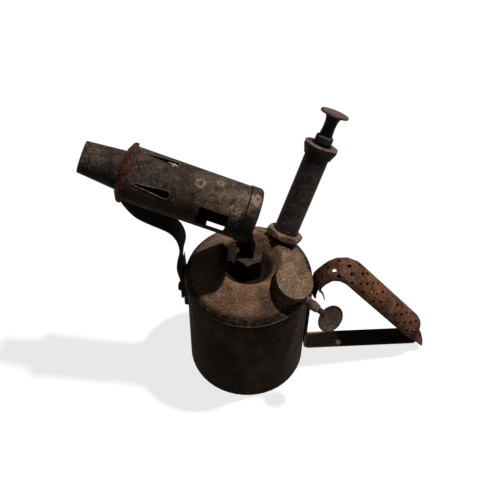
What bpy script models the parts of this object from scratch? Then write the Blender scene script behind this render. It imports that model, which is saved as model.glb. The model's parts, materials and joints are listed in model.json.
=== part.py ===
"""Paraffin blow lamp: a tank with a dished top, a leaning pump, a filler, a burner and a strap handle.

Metres, +Z up. The origin is the centre of the tank's foot, and the handle points along +X.
"""
import bpy
import bmesh
from math import asin, atan2, cos, hypot, pi, radians, sin, sqrt, tan, tau
from mathutils import Matrix, Vector

# Fits and steps that every piece shares
TOUCH = 0.0003
RUNNING = 0.0003
OVERRUN = 0.0020
MERGE = 0.00001
ARC_STEP = radians(30)
TANK_SIDES = 48
BURNER_SIDES = 32
SMALL_SIDES = 24
ROD_SIDES = 14
HOLE_SIDES = 8

# Tank
TANK_RADIUS = 0.0500
TANK_WALL = 0.0012
TANK_WALL_TOP = 0.1088
FOOT_ROUND = 0.0027
FOOT_TURN_IN = 0.0045
BASE_WALL = 0.0010
BASE_FLANGE = 0.0060
BASE_RISE = 0.0040
BASE_DISH = 0.0030
BASE_DISH_SHARE = 0.75
TOP_WALL = 0.0009
SKIRT_LAP = 0.0008
SKIRT_BOTTOM = TANK_WALL_TOP - SKIRT_LAP
SHOULDER_LIP = 0.0013
SHOULDER_HEIGHT = TANK_WALL_TOP + SHOULDER_LIP
SHOULDER_ROUND = 0.0040
DOME_RADIUS = 0.0970
DOME_STEPS = 4
RIDGE_RADIUS = 0.0263
DOME_RISE = 0.0185
RIDGE_HEIGHT = SHOULDER_HEIGHT + DOME_RISE
RIDGE_ROUND = 0.0025
DISH_RADIUS = 0.0140
DISH_DEPTH = 0.0156
DISH_HEIGHT = RIDGE_HEIGHT - DISH_DEPTH
DISH_ROUND = 0.0020

# Riser that carries the burner
RISER_NUT_HEIGHT = 0.0204
RISER_TOP = DISH_HEIGHT + RISER_NUT_HEIGHT
RISER_CORNERS = 0.0116
RISER_TURN = radians(-41)
RISER_CHAMFER = 0.0012
RISER_SHANK = 0.0080
RISER_SHANK_DEPTH = 0.0070
RISER_BORE = 0.0035
PICKUP_WALL = 0.0008
PICKUP_SEAT = 0.0050
PICKUP_FOOT = 0.0120
STEM_FOOT_SIDE = 0.0118
STEM_FOOT_HEIGHT = 0.0050
STEM_FOOT_SHIFT = 0.0022
STEM_BACK = 0.0026
STEM_SIDE = 0.0104
STEM_SHIFT = 0.0028
STEM_HEAD_SIDE = 0.0088
STEM_HEAD_SHIFT = 0.0052
STEM_SHOULDER = 0.0016
PLUG_RADIUS = 0.0036
PLUG_HEIGHT = 0.0026
PLUG_RISE = 0.0086
PLUG_LEVEL = RISER_TOP + PLUG_RISE
PLUG_SEAT = 0.0077
PLUG_BOSS = 0.0043
PLUG_AZIMUTH = radians(205)
PLUG_SLOT = 0.0009

# Burner, measured along its own axis from the point above the tank's centre
STEM_LENGTH = 0.0456
BURNER_HEIGHT = RISER_TOP + STEM_LENGTH
STEM_HEAD_DROP = 0.0130
STEM_HEAD_HEIGHT = BURNER_HEIGHT - STEM_HEAD_DROP
BURNER_RISE = radians(17.1)
BURNER_AZIMUTH = radians(167)
CASING_RADIUS = 0.0206
CASING_WALL = 0.0010
CASING_REAR = 0.0062
REAR_RADIUS = 0.0213
REAR_BACK = -0.0040
REAR_FRONT = 0.0059
REAR_ROUND = 0.0030
SPIGOT_FRONT = 0.0110
CORE_RADIUS = 0.0145
CORE_FRONT = 0.0320
CORE_RECESS = 0.0090
CORE_RECESS_FLOOR = 0.0220
SLOT_COUNT = 5
SLOT_TURN = radians(12)
SLOT_FRONT = 0.0890
SLOT_REAR = 0.0615
SLOT_WIDTH = 0.0062
SLOT_TIP = 0.0008
SLOT_STEPS = 10
WINDOW_REAR = 0.0165
WINDOW_FRONT = 0.0385
WINDOW_FROM = radians(60)
WINDOW_TO = radians(105)
HEAT_HOLE_REAR = 0.0135
HEAT_HOLE_FRONT = 0.0280
HEAT_HOLE_HALF = radians(22.5)
SECTOR_STEPS = 4
NOZZLE_ROOT = 0.0148
NOZZLE_SHOULDER = 0.1000
NOZZLE_TIP_RADIUS = 0.0120
NOZZLE_TIP = 0.1291
NOZZLE_WALL = 0.0013
FLAME_TUBE_REAR = 0.0500
FLAME_TUBE_MOUTH = 0.0165
FLAME_TUBE_FLARE = 0.0060
PLATE_THICKNESS = 0.0012
PLATE_FLANGE = 0.0016
JET_RADIUS = 0.0036
JET_TIP = 0.0013
JET_CONE = 0.0040
JET_FRONT = 0.0310
LOOP_TUBE = 0.0024
LOOP_ARM = 0.0112
LOOP_HALF_ANGLE = radians(42)
LOOP_FRONT = 0.0445
LOOP_BEND = 0.0040
LOOP_STEPS = 6

# Support strap from the burner's front to the tank
COLLAR_RADIUS = 0.0228
COLLAR_MOUTH = 0.0163
COLLAR_REAR = 0.0932
COLLAR_BAND = 0.0032
COLLAR_FRONT = 0.0998
COLLAR_WALL = 0.0019
COLLAR_ROUND = 0.0022
STRAP_WIDTH = 0.0160
STRAP_THICKNESS = 0.0020
STRAP_STEPS = 3
STRAP_LINE_SHARES = ((0.010, -0.130), (0.049, 0.012), (0.027, 0.155), (-0.027, 0.326), (0.018, 0.480),
                     (0.156, 0.592), (0.422, 0.662), (0.689, 0.740), (0.856, 0.857), (0.985, 1.010))
LUG_THICKNESS = 0.0027
LUG_WIDTH = 0.0150
LUG_DROP = 0.0080
LUG_TOP = SKIRT_BOTTOM - LUG_DROP
LUG_LENGTH = 0.0405
LUG_BOTTOM = LUG_TOP - LUG_LENGTH
BOLT_DROP = 0.0197
BOLT_HEIGHT = LUG_TOP - BOLT_DROP
STRAP_END = 0.0060
STRAP_FOOT = BOLT_HEIGHT - STRAP_END
BOLT_SHANK = 0.0021
BOLT_HEAD = 0.0043
BOLT_HEAD_HEIGHT = 0.0036

# Pump, measured along its own axis from the point where it meets the dome
PUMP_AZIMUTH = radians(38.9)
PUMP_OUT = 0.0365
PUMP_HEADING = radians(48.1)
PUMP_LEAN = radians(32.6)
PUMP_BOSS_RADIUS = 0.0113
PUMP_BOSS_FOOT = -0.0025
PUMP_NUT_TOP = 0.0088
PUMP_NUT_HEIGHT = 0.0052
PUMP_NUT_CORNERS = 0.0156
PUMP_NUT_TURN = radians(10)
PUMP_NUT_CHAMFER = 0.0014
BARREL_RADIUS = 0.0099
BARREL_WALL = 0.0010
BARREL_DEPTH = 0.0215
BARREL_FOOT = -BARREL_DEPTH
PUMP_CAP_RADIUS = 0.0135
PUMP_CAP_FOOT_RADIUS = 0.0109
PUMP_CAP_TOP = 0.0854
PUMP_CAP_HEIGHT = 0.0098
PUMP_CAP_TAPER = 0.0062
PUMP_CAP_PLATE = 0.0016
PUMP_CAP_RECESS = 0.0013
PUMP_CAP_RIM = 0.0052
PUMP_CAP_ROUND = 0.0010
ROD_RADIUS = 0.0024
KNOB_TOP = 0.1123
KNOB_RADIUS = 0.0115
KNOB_THICKNESS = 0.0022
KNOB_ROUND = 0.0009
KNOB_NECK = 0.0040
KNOB_FOOT = 0.0060
KNOB_COLLAR = 0.0071
KNOB_COLLAR_LOW = 0.0032
KNOB_COLLAR_HIGH = 0.0088
KNOB_FLARE = 0.0022
KNOB_SOCKET = 0.0080
PISTON_TOP = -0.0055
PISTON_PLATE = 0.0012
PISTON_PLATE_RADIUS = 0.0078
CUP_HEIGHT = 0.0062
CUP_WALL = 0.0016
PISTON_NUT_RADIUS = 0.0042
PISTON_NUT_HEIGHT = 0.0026
VALVE_HEIGHT = 0.0055
VALVE_CHAMBER = 0.0046
VALVE_CHAMBER_DEPTH = 0.0042
VALVE_PORT = 0.0015
VALVE_DISC = 0.0038
VALVE_DISC_THICKNESS = 0.0014
VALVE_KEEPER = 0.0010

# Filler and its air screw
FILLER_AZIMUTH = radians(-38.2)
FILLER_LEAN = radians(25)
FILLER_OUT = 0.0429
FILLER_RISE = 0.0036
FILLER_HEIGHT = RIDGE_HEIGHT + FILLER_RISE
FILLER_CAP_RADIUS = 0.0158
FILLER_CAP_HEIGHT = 0.0066
FILLER_CAP_ROUND = 0.0010
FILLER_PLUG_DEPTH = 0.0046
SEAL_THICKNESS = 0.0014
NECK_RADIUS = 0.0126
NECK_BORE = 0.0095
NECK_FOOT = -0.0260
AIR_LEVEL = -0.0130
AIR_TURN = radians(5.5)
AIR_BOSS_ROOT = 0.0042
AIR_BOSS_END = 0.0038
AIR_BOSS_REACH = 0.0236
GLAND_RADIUS = 0.0043
GLAND_TIP_RADIUS = 0.0034
GLAND_LENGTH = 0.0056
AIR_STEM = 0.0026
AIR_STEM_START = 0.0104
AIR_STEM_NECK = 0.0023
AIR_STEM_FLARE = 0.0040
THUMB_OUT = 0.04185
THUMB_HALF_WIDTH = 0.0114
THUMB_HALF_LENGTH = 0.0086
THUMB_THICKNESS = 0.0024
THUMB_RIM = 0.0011
THUMB_RECESS = 0.0004
THUMB_TURN = radians(32.6)

# Handle
HANDLE_WIDTH = 0.0160
HANDLE_THICKNESS = 0.0020
HANDLE_ARM_HEIGHT = 0.0088
HANDLE_STRIP_DROP = 0.0150
HANDLE_STRIP_TOP = SKIRT_BOTTOM - HANDLE_STRIP_DROP
HANDLE_CORNER_ROUND = 0.0045
HANDLE_FOLD_ROUND = 0.0022
HANDLE_TAIL = 0.0240
GRIP_SHEET = 0.0011
GRIP_HALF_WIDTH = 0.0140
GRIP_DEPTH = 0.0142
GRIP_END_HALF_WIDTH = 0.0100
GRIP_END_DEPTH = 0.0030
GRIP_TOP_FLAT = 0.0226
GRIP_FOLD_FLAT = 0.0098
GRIP_TAPER = 0.0250
GRIP_FOLD_TAPER = 0.0150
GRIP_LAP = 0.0085
GRIP_FOOT_HEIGHT = HANDLE_STRIP_TOP - GRIP_LAP
GRIP_BACK = 0.0110
GRIP_BACK_HEIGHT = GRIP_FOOT_HEIGHT + GRIP_BACK
GRIP_TOP_OUT = 0.0712
GRIP_RISE = 0.0202
GRIP_TOP_HEIGHT = GRIP_BACK_HEIGHT + GRIP_RISE
GRIP_SLOPE = radians(-51.6)
GRIP_TIP_HEIGHT = 0.0056
GRIP_BACK_ROUND = 0.0095
GRIP_TOP_ROUND = 0.0100
GRIP_STATIONS = 30
GRIP_ARCH_STEPS = 10
GRIP_HOLE = 0.0017
GRIP_HOLE_PITCH = 0.0082
GRIP_HOLE_START = 0.0275
GRIP_HOLE_START_LOW = 0.1015
GRIP_HOLE_SLANT = 0.0150
WIDE_ROW_SHARES = (0.09, 0.27, 0.45, 0.62, 0.80)
NARROW_ROW_SHARES = (0.18, 0.37, 0.55, 0.73)
RIVET_SHANK = 0.0018
RIVET_HEAD = 0.0034
RIVET_HEAD_HEIGHT = 0.0011
RIVET_TOP_INSET = 0.0043
RIVET_BOTTOM_INSET = 0.0056


def clear_scene():
    for obj in list(bpy.data.objects):
        bpy.data.objects.remove(obj, do_unlink=True)


# Colours and finishes
FINISHES = {
    "tank_paint": ((0.130, 0.085, 0.055), 0.70, 0.20),
    "dark_steel": ((0.060, 0.048, 0.042), 0.65, 0.50),
    "burner_iron": ((0.075, 0.066, 0.060), 0.60, 0.60),
    "rusty_steel": ((0.165, 0.080, 0.045), 0.80, 0.30),
    "old_brass": ((0.300, 0.190, 0.090), 0.45, 0.90),
    "dull_brass": ((0.110, 0.085, 0.065), 0.55, 0.70),
    "leather": ((0.110, 0.060, 0.030), 0.90, 0.00),
}


def paint(obj, finish):
    color, roughness, metallic = FINISHES[finish]
    mat = bpy.data.materials.new(f"{finish}_{obj.name}")
    mat.use_nodes = True
    shader = mat.node_tree.nodes["Principled BSDF"]
    shader.inputs["Base Color"].default_value = (*color, 1)
    shader.inputs["Roughness"].default_value = roughness
    shader.inputs["Metallic"].default_value = metallic
    obj.data.materials.append(mat)


# Frames
def spherical(azimuth, elevation):
    """A unit vector from its azimuth round +Z and its elevation."""
    return Vector((cos(elevation) * cos(azimuth), cos(elevation) * sin(azimuth), sin(elevation)))


def axis_frame(name, origin, along, across):
    """An empty whose Z runs along one direction and whose X leans towards another."""
    z_axis = along.normalized()
    x_axis = (across - z_axis * across.dot(z_axis)).normalized()
    turn = Matrix((x_axis, z_axis.cross(x_axis), z_axis)).transposed()
    frame = bpy.data.objects.new(name, None)
    frame.matrix_world = Matrix.Translation(origin) @ turn.to_4x4()
    bpy.context.collection.objects.link(frame)
    return frame


# Outlines
def fillet(before, corner, after, radius):
    """The arc that rounds a corner between two neighbours."""
    back = (before - corner).normalized()
    ahead = (after - corner).normalized()
    half = back.angle(ahead) / 2
    centre = corner + (back + ahead).normalized() * (radius / sin(half))
    first = corner + back * (radius / tan(half)) - centre
    last = corner + ahead * (radius / tan(half)) - centre
    start = atan2(first.y, first.x)
    turn = (atan2(last.y, last.x) - start + pi) % tau - pi
    steps = max(2, round(abs(turn) / ARC_STEP))
    angles = [start + turn * i / steps for i in range(steps + 1)]
    return [centre + Vector((cos(a), sin(a))) * radius for a in angles]


def rounded(corners):
    """A path through (x, z) or (x, z, radius) corners, with the radii drawn as arcs."""
    spots = [Vector(corner[:2]) for corner in corners]
    path = []
    for i, corner in enumerate(corners):
        radius = corner[2] if len(corner) > 2 else 0
        if radius == 0:
            path.append(spots[i])
            continue
        path += fillet(spots[i - 1], spots[i], spots[(i + 1) % len(spots)], radius)
    return path


def beside(path, distance):
    """The path moved sideways to its left, mitred at its corners."""
    moved = []
    for i, spot in enumerate(path):
        sides = []
        if i > 0:
            step = (spot - path[i - 1]).normalized()
            sides.append(Vector((-step.y, step.x)))
        if i < len(path) - 1:
            step = (path[i + 1] - spot).normalized()
            sides.append(Vector((-step.y, step.x)))
        total = sum(sides, Vector((0, 0)))
        moved.append(spot + total * (distance * len(sides) / total.length_squared))
    return moved


def sheet(path, thickness):
    """The closed outline of a sheet that has its outer face on the path and its body to the left."""
    return path + beside(path, thickness)[::-1]


def bow_centre(start, end, radius):
    """The centre of an arc that bulges to the right of the way from start to end."""
    chord = end - start
    side = Vector((-chord.y, chord.x)).normalized()
    return (start + end) / 2 + side * sqrt(radius ** 2 - chord.length_squared / 4)


def bow(start, end, radius, steps):
    """Points between the two ends of such an arc."""
    half = asin((end - start).length / (2 * radius))
    centre = bow_centre(start, end, radius)
    arm = start - centre
    spots = []
    for i in range(1, steps):
        angle = 2 * half * i / steps
        spots.append(centre + Matrix.Rotation(angle, 2) @ arm)
    return spots


def flowing(spots, steps):
    """A smooth path through spots, with the ends repeated as their own neighbours."""
    path = [spots[0]]
    for i in range(len(spots) - 1):
        before = spots[max(i - 1, 0)]
        start, end = spots[i], spots[i + 1]
        after = spots[min(i + 2, len(spots) - 1)]
        for k in range(1, steps + 1):
            share = k / steps
            bend = (end - before) * share + (2 * before - 5 * start + 4 * end - after) * share ** 2
            bend += (3 * start - before - 3 * end + after) * share ** 3
            path.append(start + bend / 2)
    return path


# Solids
def add_object(name, bm, frame):
    bmesh.ops.recalc_face_normals(bm, faces=bm.faces)
    mesh = bpy.data.meshes.new(name)
    bm.to_mesh(mesh)
    bm.free()
    mesh.shade_smooth()
    mesh.set_sharp_from_angle(angle=radians(32))
    obj = bpy.data.objects.new(name, mesh)
    obj.parent = frame
    bpy.context.collection.objects.link(obj)
    return obj


def turned(name, outline, frame=None, sides=SMALL_SIDES):
    """A closed outline of (radius, height) points spun round Z."""
    bm = bmesh.new()
    spots = [bm.verts.new((spot[0], 0, spot[1])) for spot in outline]
    edges = []
    for first, second in zip(spots, spots[1:] + spots[:1]):
        if first.co.x > MERGE or second.co.x > MERGE:
            edges.append(bm.edges.new((first, second)))
    bmesh.ops.spin(bm, geom=spots + edges, cent=(0, 0, 0), axis=(0, 0, 1), angle=tau, steps=sides,
                   use_merge=True)
    bmesh.ops.remove_doubles(bm, verts=bm.verts, dist=MERGE)
    return add_object(name, bm, frame)


def rod(name, radius, low, high, frame=None, sides=ROD_SIDES):
    return turned(name, [(0, low), (radius, low), (radius, high), (0, high)], frame, sides)


def tube(name, outer, inner, low, high, frame=None, sides=SMALL_SIDES):
    return turned(name, [(inner, low), (outer, low), (outer, high), (inner, high)], frame, sides)


def lofted(name, rings, frame=None):
    """Closed rings of points bridged in turn, with the end rings filled."""
    bm = bmesh.new()
    loops = [[bm.verts.new(spot) for spot in ring] for ring in rings]
    for low, high in zip(loops, loops[1:]):
        for i in range(len(low)):
            j = (i + 1) % len(low)
            bm.faces.new((low[i], low[j], high[j], high[i]))
    bm.faces.new(loops[0])
    bm.faces.new(loops[-1])
    return add_object(name, bm, frame)


def prism(name, outline, low, high, frame=None):
    """A flat outline of (x, y) points given height along Z."""
    bm = bmesh.new()
    face = bm.faces.new([bm.verts.new((spot[0], spot[1], low)) for spot in outline])
    raised = bmesh.ops.extrude_face_region(bm, geom=[face])["geom"]
    corners = [part for part in raised if isinstance(part, bmesh.types.BMVert)]
    bmesh.ops.translate(bm, verts=corners, vec=(0, 0, high - low))
    return add_object(name, bm, frame)


def polygon(corners, radius, turn=0):
    angles = [turn + tau * i / corners for i in range(corners)]
    return [(radius * cos(a), radius * sin(a)) for a in angles]


def strip(name, path, thickness, width, frame=None):
    """A flat strap of even width whose middle follows a path of (x, z) points."""
    left = beside(path, thickness / 2)
    right = beside(path, -thickness / 2)
    half = width / 2
    rings = []
    for a, b in zip(left, right):
        rings.append([(a.x, -half, a.y), (a.x, half, a.y), (b.x, half, b.y), (b.x, -half, b.y)])
    return lofted(name, rings, frame)


def join(target, other, operation):
    """Adds, cuts or intersects with another object, which is then hidden."""
    change = target.modifiers.new(other.name, "BOOLEAN")
    change.operation = operation
    change.solver = "EXACT"
    change.object = other
    other.hide_render = True
    other.display_type = "WIRE"


def hex_nut(name, corners, bore, low, high, chamfer, turn, frame, skirt=None):
    """A six-sided nut with chamfered corners, and a round shank below where one is given."""
    flats = corners * cos(pi / 6)
    outline = [(bore, low), (flats, low), (corners, low + chamfer), (corners, high - chamfer),
               (flats, high), (bore, high)]
    if skirt:
        radius, depth = skirt
        outline[:1] = [(bore, low - depth), (radius, low - depth), (radius, low)]
    nut = turned(name, outline, frame, SMALL_SIDES + HOLE_SIDES)
    foot = low - OVERRUN - (skirt[1] if skirt else 0)
    sides = prism(f"{name}_flats", polygon(6, corners, turn), foot, high + OVERRUN, frame)
    join(nut, sides, "INTERSECT")
    return nut


# Tank
def dome_ends():
    return Vector((TANK_RADIUS + TOUCH + TOP_WALL, SHOULDER_HEIGHT)), Vector((RIDGE_RADIUS, RIDGE_HEIGHT))


def dome_height(out):
    """The height of the dome's outer face at a distance from the tank's axis."""
    centre = bow_centre(*dome_ends(), DOME_RADIUS)
    return centre.y + sqrt(DOME_RADIUS ** 2 - (out - centre.x) ** 2)


def tank_top_path():
    """The outer face of the top, from the skirt's lower edge in to the riser's hole."""
    edge, ridge = dome_ends()
    corners = [(edge.x, SKIRT_BOTTOM), (*edge, SHOULDER_ROUND)]
    corners += bow(edge, ridge, DOME_RADIUS, DOME_STEPS)
    corners += [(*ridge, RIDGE_ROUND), (DISH_RADIUS, DISH_HEIGHT, DISH_ROUND)]
    corners += [(RISER_SHANK + TOUCH, DISH_HEIGHT)]
    return rounded(corners)


def make_tank_wall():
    foot = TANK_RADIUS - FOOT_ROUND - FOOT_TURN_IN
    corners = [(foot, 0), (TANK_RADIUS, 0, FOOT_ROUND), (TANK_RADIUS, TANK_WALL_TOP)]
    wall = turned("tank_wall", sheet(rounded(corners), TANK_WALL), None, TANK_SIDES)
    paint(wall, "tank_paint")


def make_tank_base():
    """A dished plate whose flange rests on the wall's turned-in foot."""
    seat = TANK_WALL + TOUCH
    rim = TANK_RADIUS - TANK_WALL - FOOT_ROUND / 2
    step = rim - BASE_FLANGE
    corners = [(0, seat + BASE_RISE + BASE_DISH), (step / 2, seat + BASE_RISE + BASE_DISH * BASE_DISH_SHARE),
               (step, seat + BASE_RISE), (step + BASE_WALL, seat), (rim, seat)]
    base = turned("tank_base", sheet(rounded(corners), BASE_WALL), None, TANK_SIDES)
    paint(base, "tank_paint")


def make_tank_top(pump_frame, filler_frame, air_frame):
    top = turned("tank_top", sheet(tank_top_path(), TOP_WALL), None, TANK_SIDES)
    join(top, rod("cut_pump_hole", PUMP_BOSS_RADIUS + TOUCH, PUMP_BOSS_FOOT - 2 * TOUCH,
                  PUMP_NUT_TOP + OVERRUN, pump_frame, SMALL_SIDES), "DIFFERENCE")
    join(top, rod("cut_filler_hole", NECK_RADIUS + TOUCH, NECK_FOOT - OVERRUN, 0,
                  filler_frame, SMALL_SIDES), "DIFFERENCE")
    boss = turned("cut_air_boss_seat", [(0, 0), (AIR_BOSS_ROOT + TOUCH, 0),
                                        (AIR_BOSS_END + TOUCH, AIR_BOSS_REACH + TOUCH),
                                        (0, AIR_BOSS_REACH + TOUCH)], air_frame, ROD_SIDES)
    join(top, boss, "DIFFERENCE")
    paint(top, "tank_paint")


# Riser, stem and vaporiser
def make_riser():
    nut = hex_nut("riser_nut", RISER_CORNERS, RISER_BORE, DISH_HEIGHT + TOUCH, RISER_TOP,
                  RISER_CHAMFER, RISER_TURN, None, (RISER_SHANK, RISER_SHANK_DEPTH))
    paint(nut, "dull_brass")


def make_pickup_tube():
    outer = RISER_BORE - TOUCH
    high = DISH_HEIGHT - RISER_SHANK_DEPTH + PICKUP_SEAT
    pipe = tube("pickup_tube", outer, outer - PICKUP_WALL, PICKUP_FOOT, high, None, ROD_SIDES)
    paint(pipe, "old_brass")


def square_ring(centre, side, height):
    half = side / 2
    near = half - STEM_BACK
    far = -half - STEM_BACK
    return [(centre + half, near, height), (centre - half, near, height),
            (centre - half, far, height), (centre + half, far, height)]


def make_vaporiser(burner_frame, riser_frame):
    """The rear casting: a thick disc, a spigot, a recessed core and the square stem below."""
    spigot = CASING_RADIUS - CASING_WALL - TOUCH
    corners = [(0, REAR_BACK), (REAR_RADIUS, REAR_BACK, REAR_ROUND), (REAR_RADIUS, REAR_FRONT),
               (spigot, REAR_FRONT), (spigot, SPIGOT_FRONT), (CORE_RADIUS, SPIGOT_FRONT),
               (CORE_RADIUS, CORE_FRONT), (CORE_RECESS, CORE_FRONT),
               (CORE_RECESS, CORE_RECESS_FLOOR), (0, CORE_RECESS_FLOOR)]
    body = turned("vaporiser_body", rounded(corners), burner_frame, BURNER_SIDES)
    foot = RISER_TOP + TOUCH
    rings = [square_ring(STEM_FOOT_SHIFT, STEM_FOOT_SIDE, foot),
             square_ring(STEM_FOOT_SHIFT, STEM_FOOT_SIDE, foot + STEM_FOOT_HEIGHT),
             square_ring(STEM_SHIFT, STEM_SIDE, foot + STEM_FOOT_HEIGHT + STEM_SHOULDER),
             square_ring(STEM_HEAD_SHIFT, STEM_HEAD_SIDE, STEM_HEAD_HEIGHT)]
    join(body, lofted("add_stem", rings, riser_frame), "UNION")
    join(body, rod("add_plug_boss", PLUG_BOSS, 0, PLUG_SEAT, plug_frame(riser_frame)), "UNION")
    paint(body, "burner_iron")


def plug_frame(riser_frame):
    """The screw plug's axis, level, from inside the stem out to the near side."""
    origin = riser_frame.matrix_world @ Vector((STEM_SHIFT, -STEM_BACK, PLUG_LEVEL))
    return axis_frame("plug_axis", origin, spherical(PLUG_AZIMUTH, 0), Vector((0, 0, 1)))


def make_stem_plug(riser_frame):
    """A slotted screw plug on a boss of the stem."""
    low = PLUG_SEAT + TOUCH
    high = low + PLUG_HEIGHT
    frame = plug_frame(riser_frame)
    plug = rod("stem_plug", PLUG_RADIUS, low, high, frame)
    half = PLUG_SLOT / 2
    reach = PLUG_RADIUS + OVERRUN
    slot = prism("cut_plug_slot", [(-reach, -half), (reach, -half), (reach, half), (-reach, half)],
                 high - PLUG_SLOT, high + OVERRUN, frame)
    join(plug, slot, "DIFFERENCE")
    paint(plug, "old_brass")


def make_jet(burner_frame):
    foot = CORE_RECESS_FLOOR + TOUCH
    outline = [(0, foot), (JET_RADIUS, foot), (JET_RADIUS, JET_FRONT - JET_CONE), (JET_TIP, JET_FRONT),
               (0, JET_FRONT)]
    jet = turned("jet_nipple", outline, burner_frame, ROD_SIDES)
    paint(jet, "old_brass")


def make_vapour_loop(burner_frame):
    """A bent pipe that leaves the core, crosses over above the flame and returns."""
    start = CORE_FRONT + TOUCH
    rear = [start, LOOP_FRONT - LOOP_BEND]
    spots = []
    for height in rear:
        spots.append((LOOP_ARM, LOOP_HALF_ANGLE, height))
    for i in range(1, LOOP_STEPS):
        share = i / LOOP_STEPS
        spots.append((LOOP_ARM, LOOP_HALF_ANGLE * (1 - 2 * share), LOOP_FRONT))
    for height in rear[::-1]:
        spots.append((LOOP_ARM, -LOOP_HALF_ANGLE, height))
    curve = bpy.data.curves.new("vapour_loop", "CURVE")
    curve.dimensions = "3D"
    curve.bevel_depth = LOOP_TUBE
    curve.bevel_resolution = 2
    curve.use_fill_caps = True
    spline = curve.splines.new("POLY")
    spline.points.add(len(spots) - 1)
    for point, (arm, angle, height) in zip(spline.points, spots):
        point.co = (arm * cos(angle), arm * sin(angle), height, 1)
    loop = bpy.data.objects.new("vapour_loop", curve)
    loop.parent = burner_frame
    bpy.context.collection.objects.link(loop)
    paint(loop, "burner_iron")


# Casing and nozzle
def sector_cutter(name, start, end, rear, front, frame):
    """A wedge from the axis outward, between two angles and two stations."""
    reach = CASING_RADIUS + OVERRUN
    angles = [start + (end - start) * i / SECTOR_STEPS for i in range(SECTOR_STEPS + 1)]
    outline = [(0, 0)] + [(reach * cos(a), reach * sin(a)) for a in angles]
    return prism(name, outline, rear, front, frame)


def slot_cutter(name, turn, frame):
    """A teardrop with its round end to the rear, driven inward through the casing."""
    radius = SLOT_WIDTH / 2
    centre = SLOT_REAR + radius
    lean = asin(radius / (SLOT_FRONT - centre))
    sweep = pi + 2 * lean
    angles = [lean - sweep * i / SLOT_STEPS for i in range(SLOT_STEPS + 1)]
    outline = [(radius * cos(a), centre + radius * sin(a)) for a in angles]
    outline += [(-SLOT_TIP / 2, SLOT_FRONT), (SLOT_TIP / 2, SLOT_FRONT)]
    inner = CASING_RADIUS - CASING_WALL - OVERRUN
    outer = CASING_RADIUS + OVERRUN
    spin = Matrix.Rotation(turn, 3, "Z")
    rings = [[spin @ Vector((reach, y, z)) for y, z in outline] for reach in (inner, outer)]
    return lofted(name, rings, frame)


def collar_station(radius, depth):
    """Where the collar's sloping front, sunk by a depth, has a radius."""
    run = COLLAR_RADIUS - COLLAR_MOUTH
    rise = COLLAR_FRONT - COLLAR_REAR - COLLAR_BAND
    start = COLLAR_REAR + COLLAR_BAND
    return start + (COLLAR_RADIUS - radius) * rise / run - depth * hypot(run, rise) / run


def casing_front():
    return collar_station(CASING_RADIUS, COLLAR_WALL + TOUCH)


def make_casing(burner_frame):
    inner = CASING_RADIUS - CASING_WALL
    casing = tube("burner_casing", CASING_RADIUS, inner, CASING_REAR, casing_front(), burner_frame,
                  BURNER_SIDES)
    join(casing, sector_cutter("cut_window", -WINDOW_TO, -WINDOW_FROM, WINDOW_REAR, WINDOW_FRONT,
                               burner_frame), "DIFFERENCE")
    join(casing, sector_cutter("cut_heat_hole", pi - HEAT_HOLE_HALF, pi + HEAT_HOLE_HALF,
                               HEAT_HOLE_REAR, HEAT_HOLE_FRONT, burner_frame), "DIFFERENCE")
    for i in range(SLOT_COUNT):
        cutter = slot_cutter(f"cut_slot_{i + 1}", SLOT_TURN + tau * i / SLOT_COUNT, burner_frame)
        join(casing, cutter, "DIFFERENCE")
    paint(casing, "burner_iron")


def make_flame_tube(burner_frame):
    """The inner tube, flared at its rear and tapering to the nozzle's tip."""
    flare = FLAME_TUBE_REAR + FLAME_TUBE_FLARE
    path = [Vector((NOZZLE_TIP_RADIUS, NOZZLE_TIP)), Vector((NOZZLE_ROOT, NOZZLE_SHOULDER)),
            Vector((NOZZLE_ROOT, flare)), Vector((FLAME_TUBE_MOUTH, FLAME_TUBE_REAR))]
    pipe = turned("flame_tube", sheet(path, -NOZZLE_WALL), burner_frame, BURNER_SIDES)
    paint(pipe, "burner_iron")


def make_front_plate(burner_frame):
    """A flanged cone between the casing's mouth and the flame tube, under the collar."""
    rim = CASING_RADIUS - CASING_WALL - TOUCH
    sunk = COLLAR_WALL + TOUCH
    path = [Vector((rim, casing_front() - PLATE_FLANGE)), Vector((rim, collar_station(rim, sunk))),
            Vector((NOZZLE_ROOT, collar_station(NOZZLE_ROOT, sunk)))]
    plate = turned("front_plate", sheet(path, PLATE_THICKNESS), burner_frame, BURNER_SIDES)
    join(plate, rod("cut_tube_room", NOZZLE_ROOT + TOUCH, COLLAR_REAR - OVERRUN, COLLAR_FRONT + OVERRUN,
                    burner_frame, BURNER_SIDES), "DIFFERENCE")
    paint(plate, "burner_iron")


# Support strap
def strap_path():
    """The tail's middle line, from the bolt up and out to the underside of the collar."""
    low = Vector((TANK_RADIUS + LUG_THICKNESS + 2 * TOUCH + STRAP_THICKNESS / 2, SHOULDER_HEIGHT))
    along = Vector((cos(BURNER_RISE), sin(BURNER_RISE))) * (COLLAR_REAR + COLLAR_BAND)
    down = Vector((sin(BURNER_RISE), -cos(BURNER_RISE))) * CASING_RADIUS
    room = Vector((0, BURNER_HEIGHT)) + along + down - low
    bends = [low + Vector((room.x * out, room.y * high)) for out, high in STRAP_LINE_SHARES]
    return flowing([Vector((low.x, STRAP_FOOT)), Vector((low.x, LUG_TOP))] + bends, STRAP_STEPS)


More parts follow.
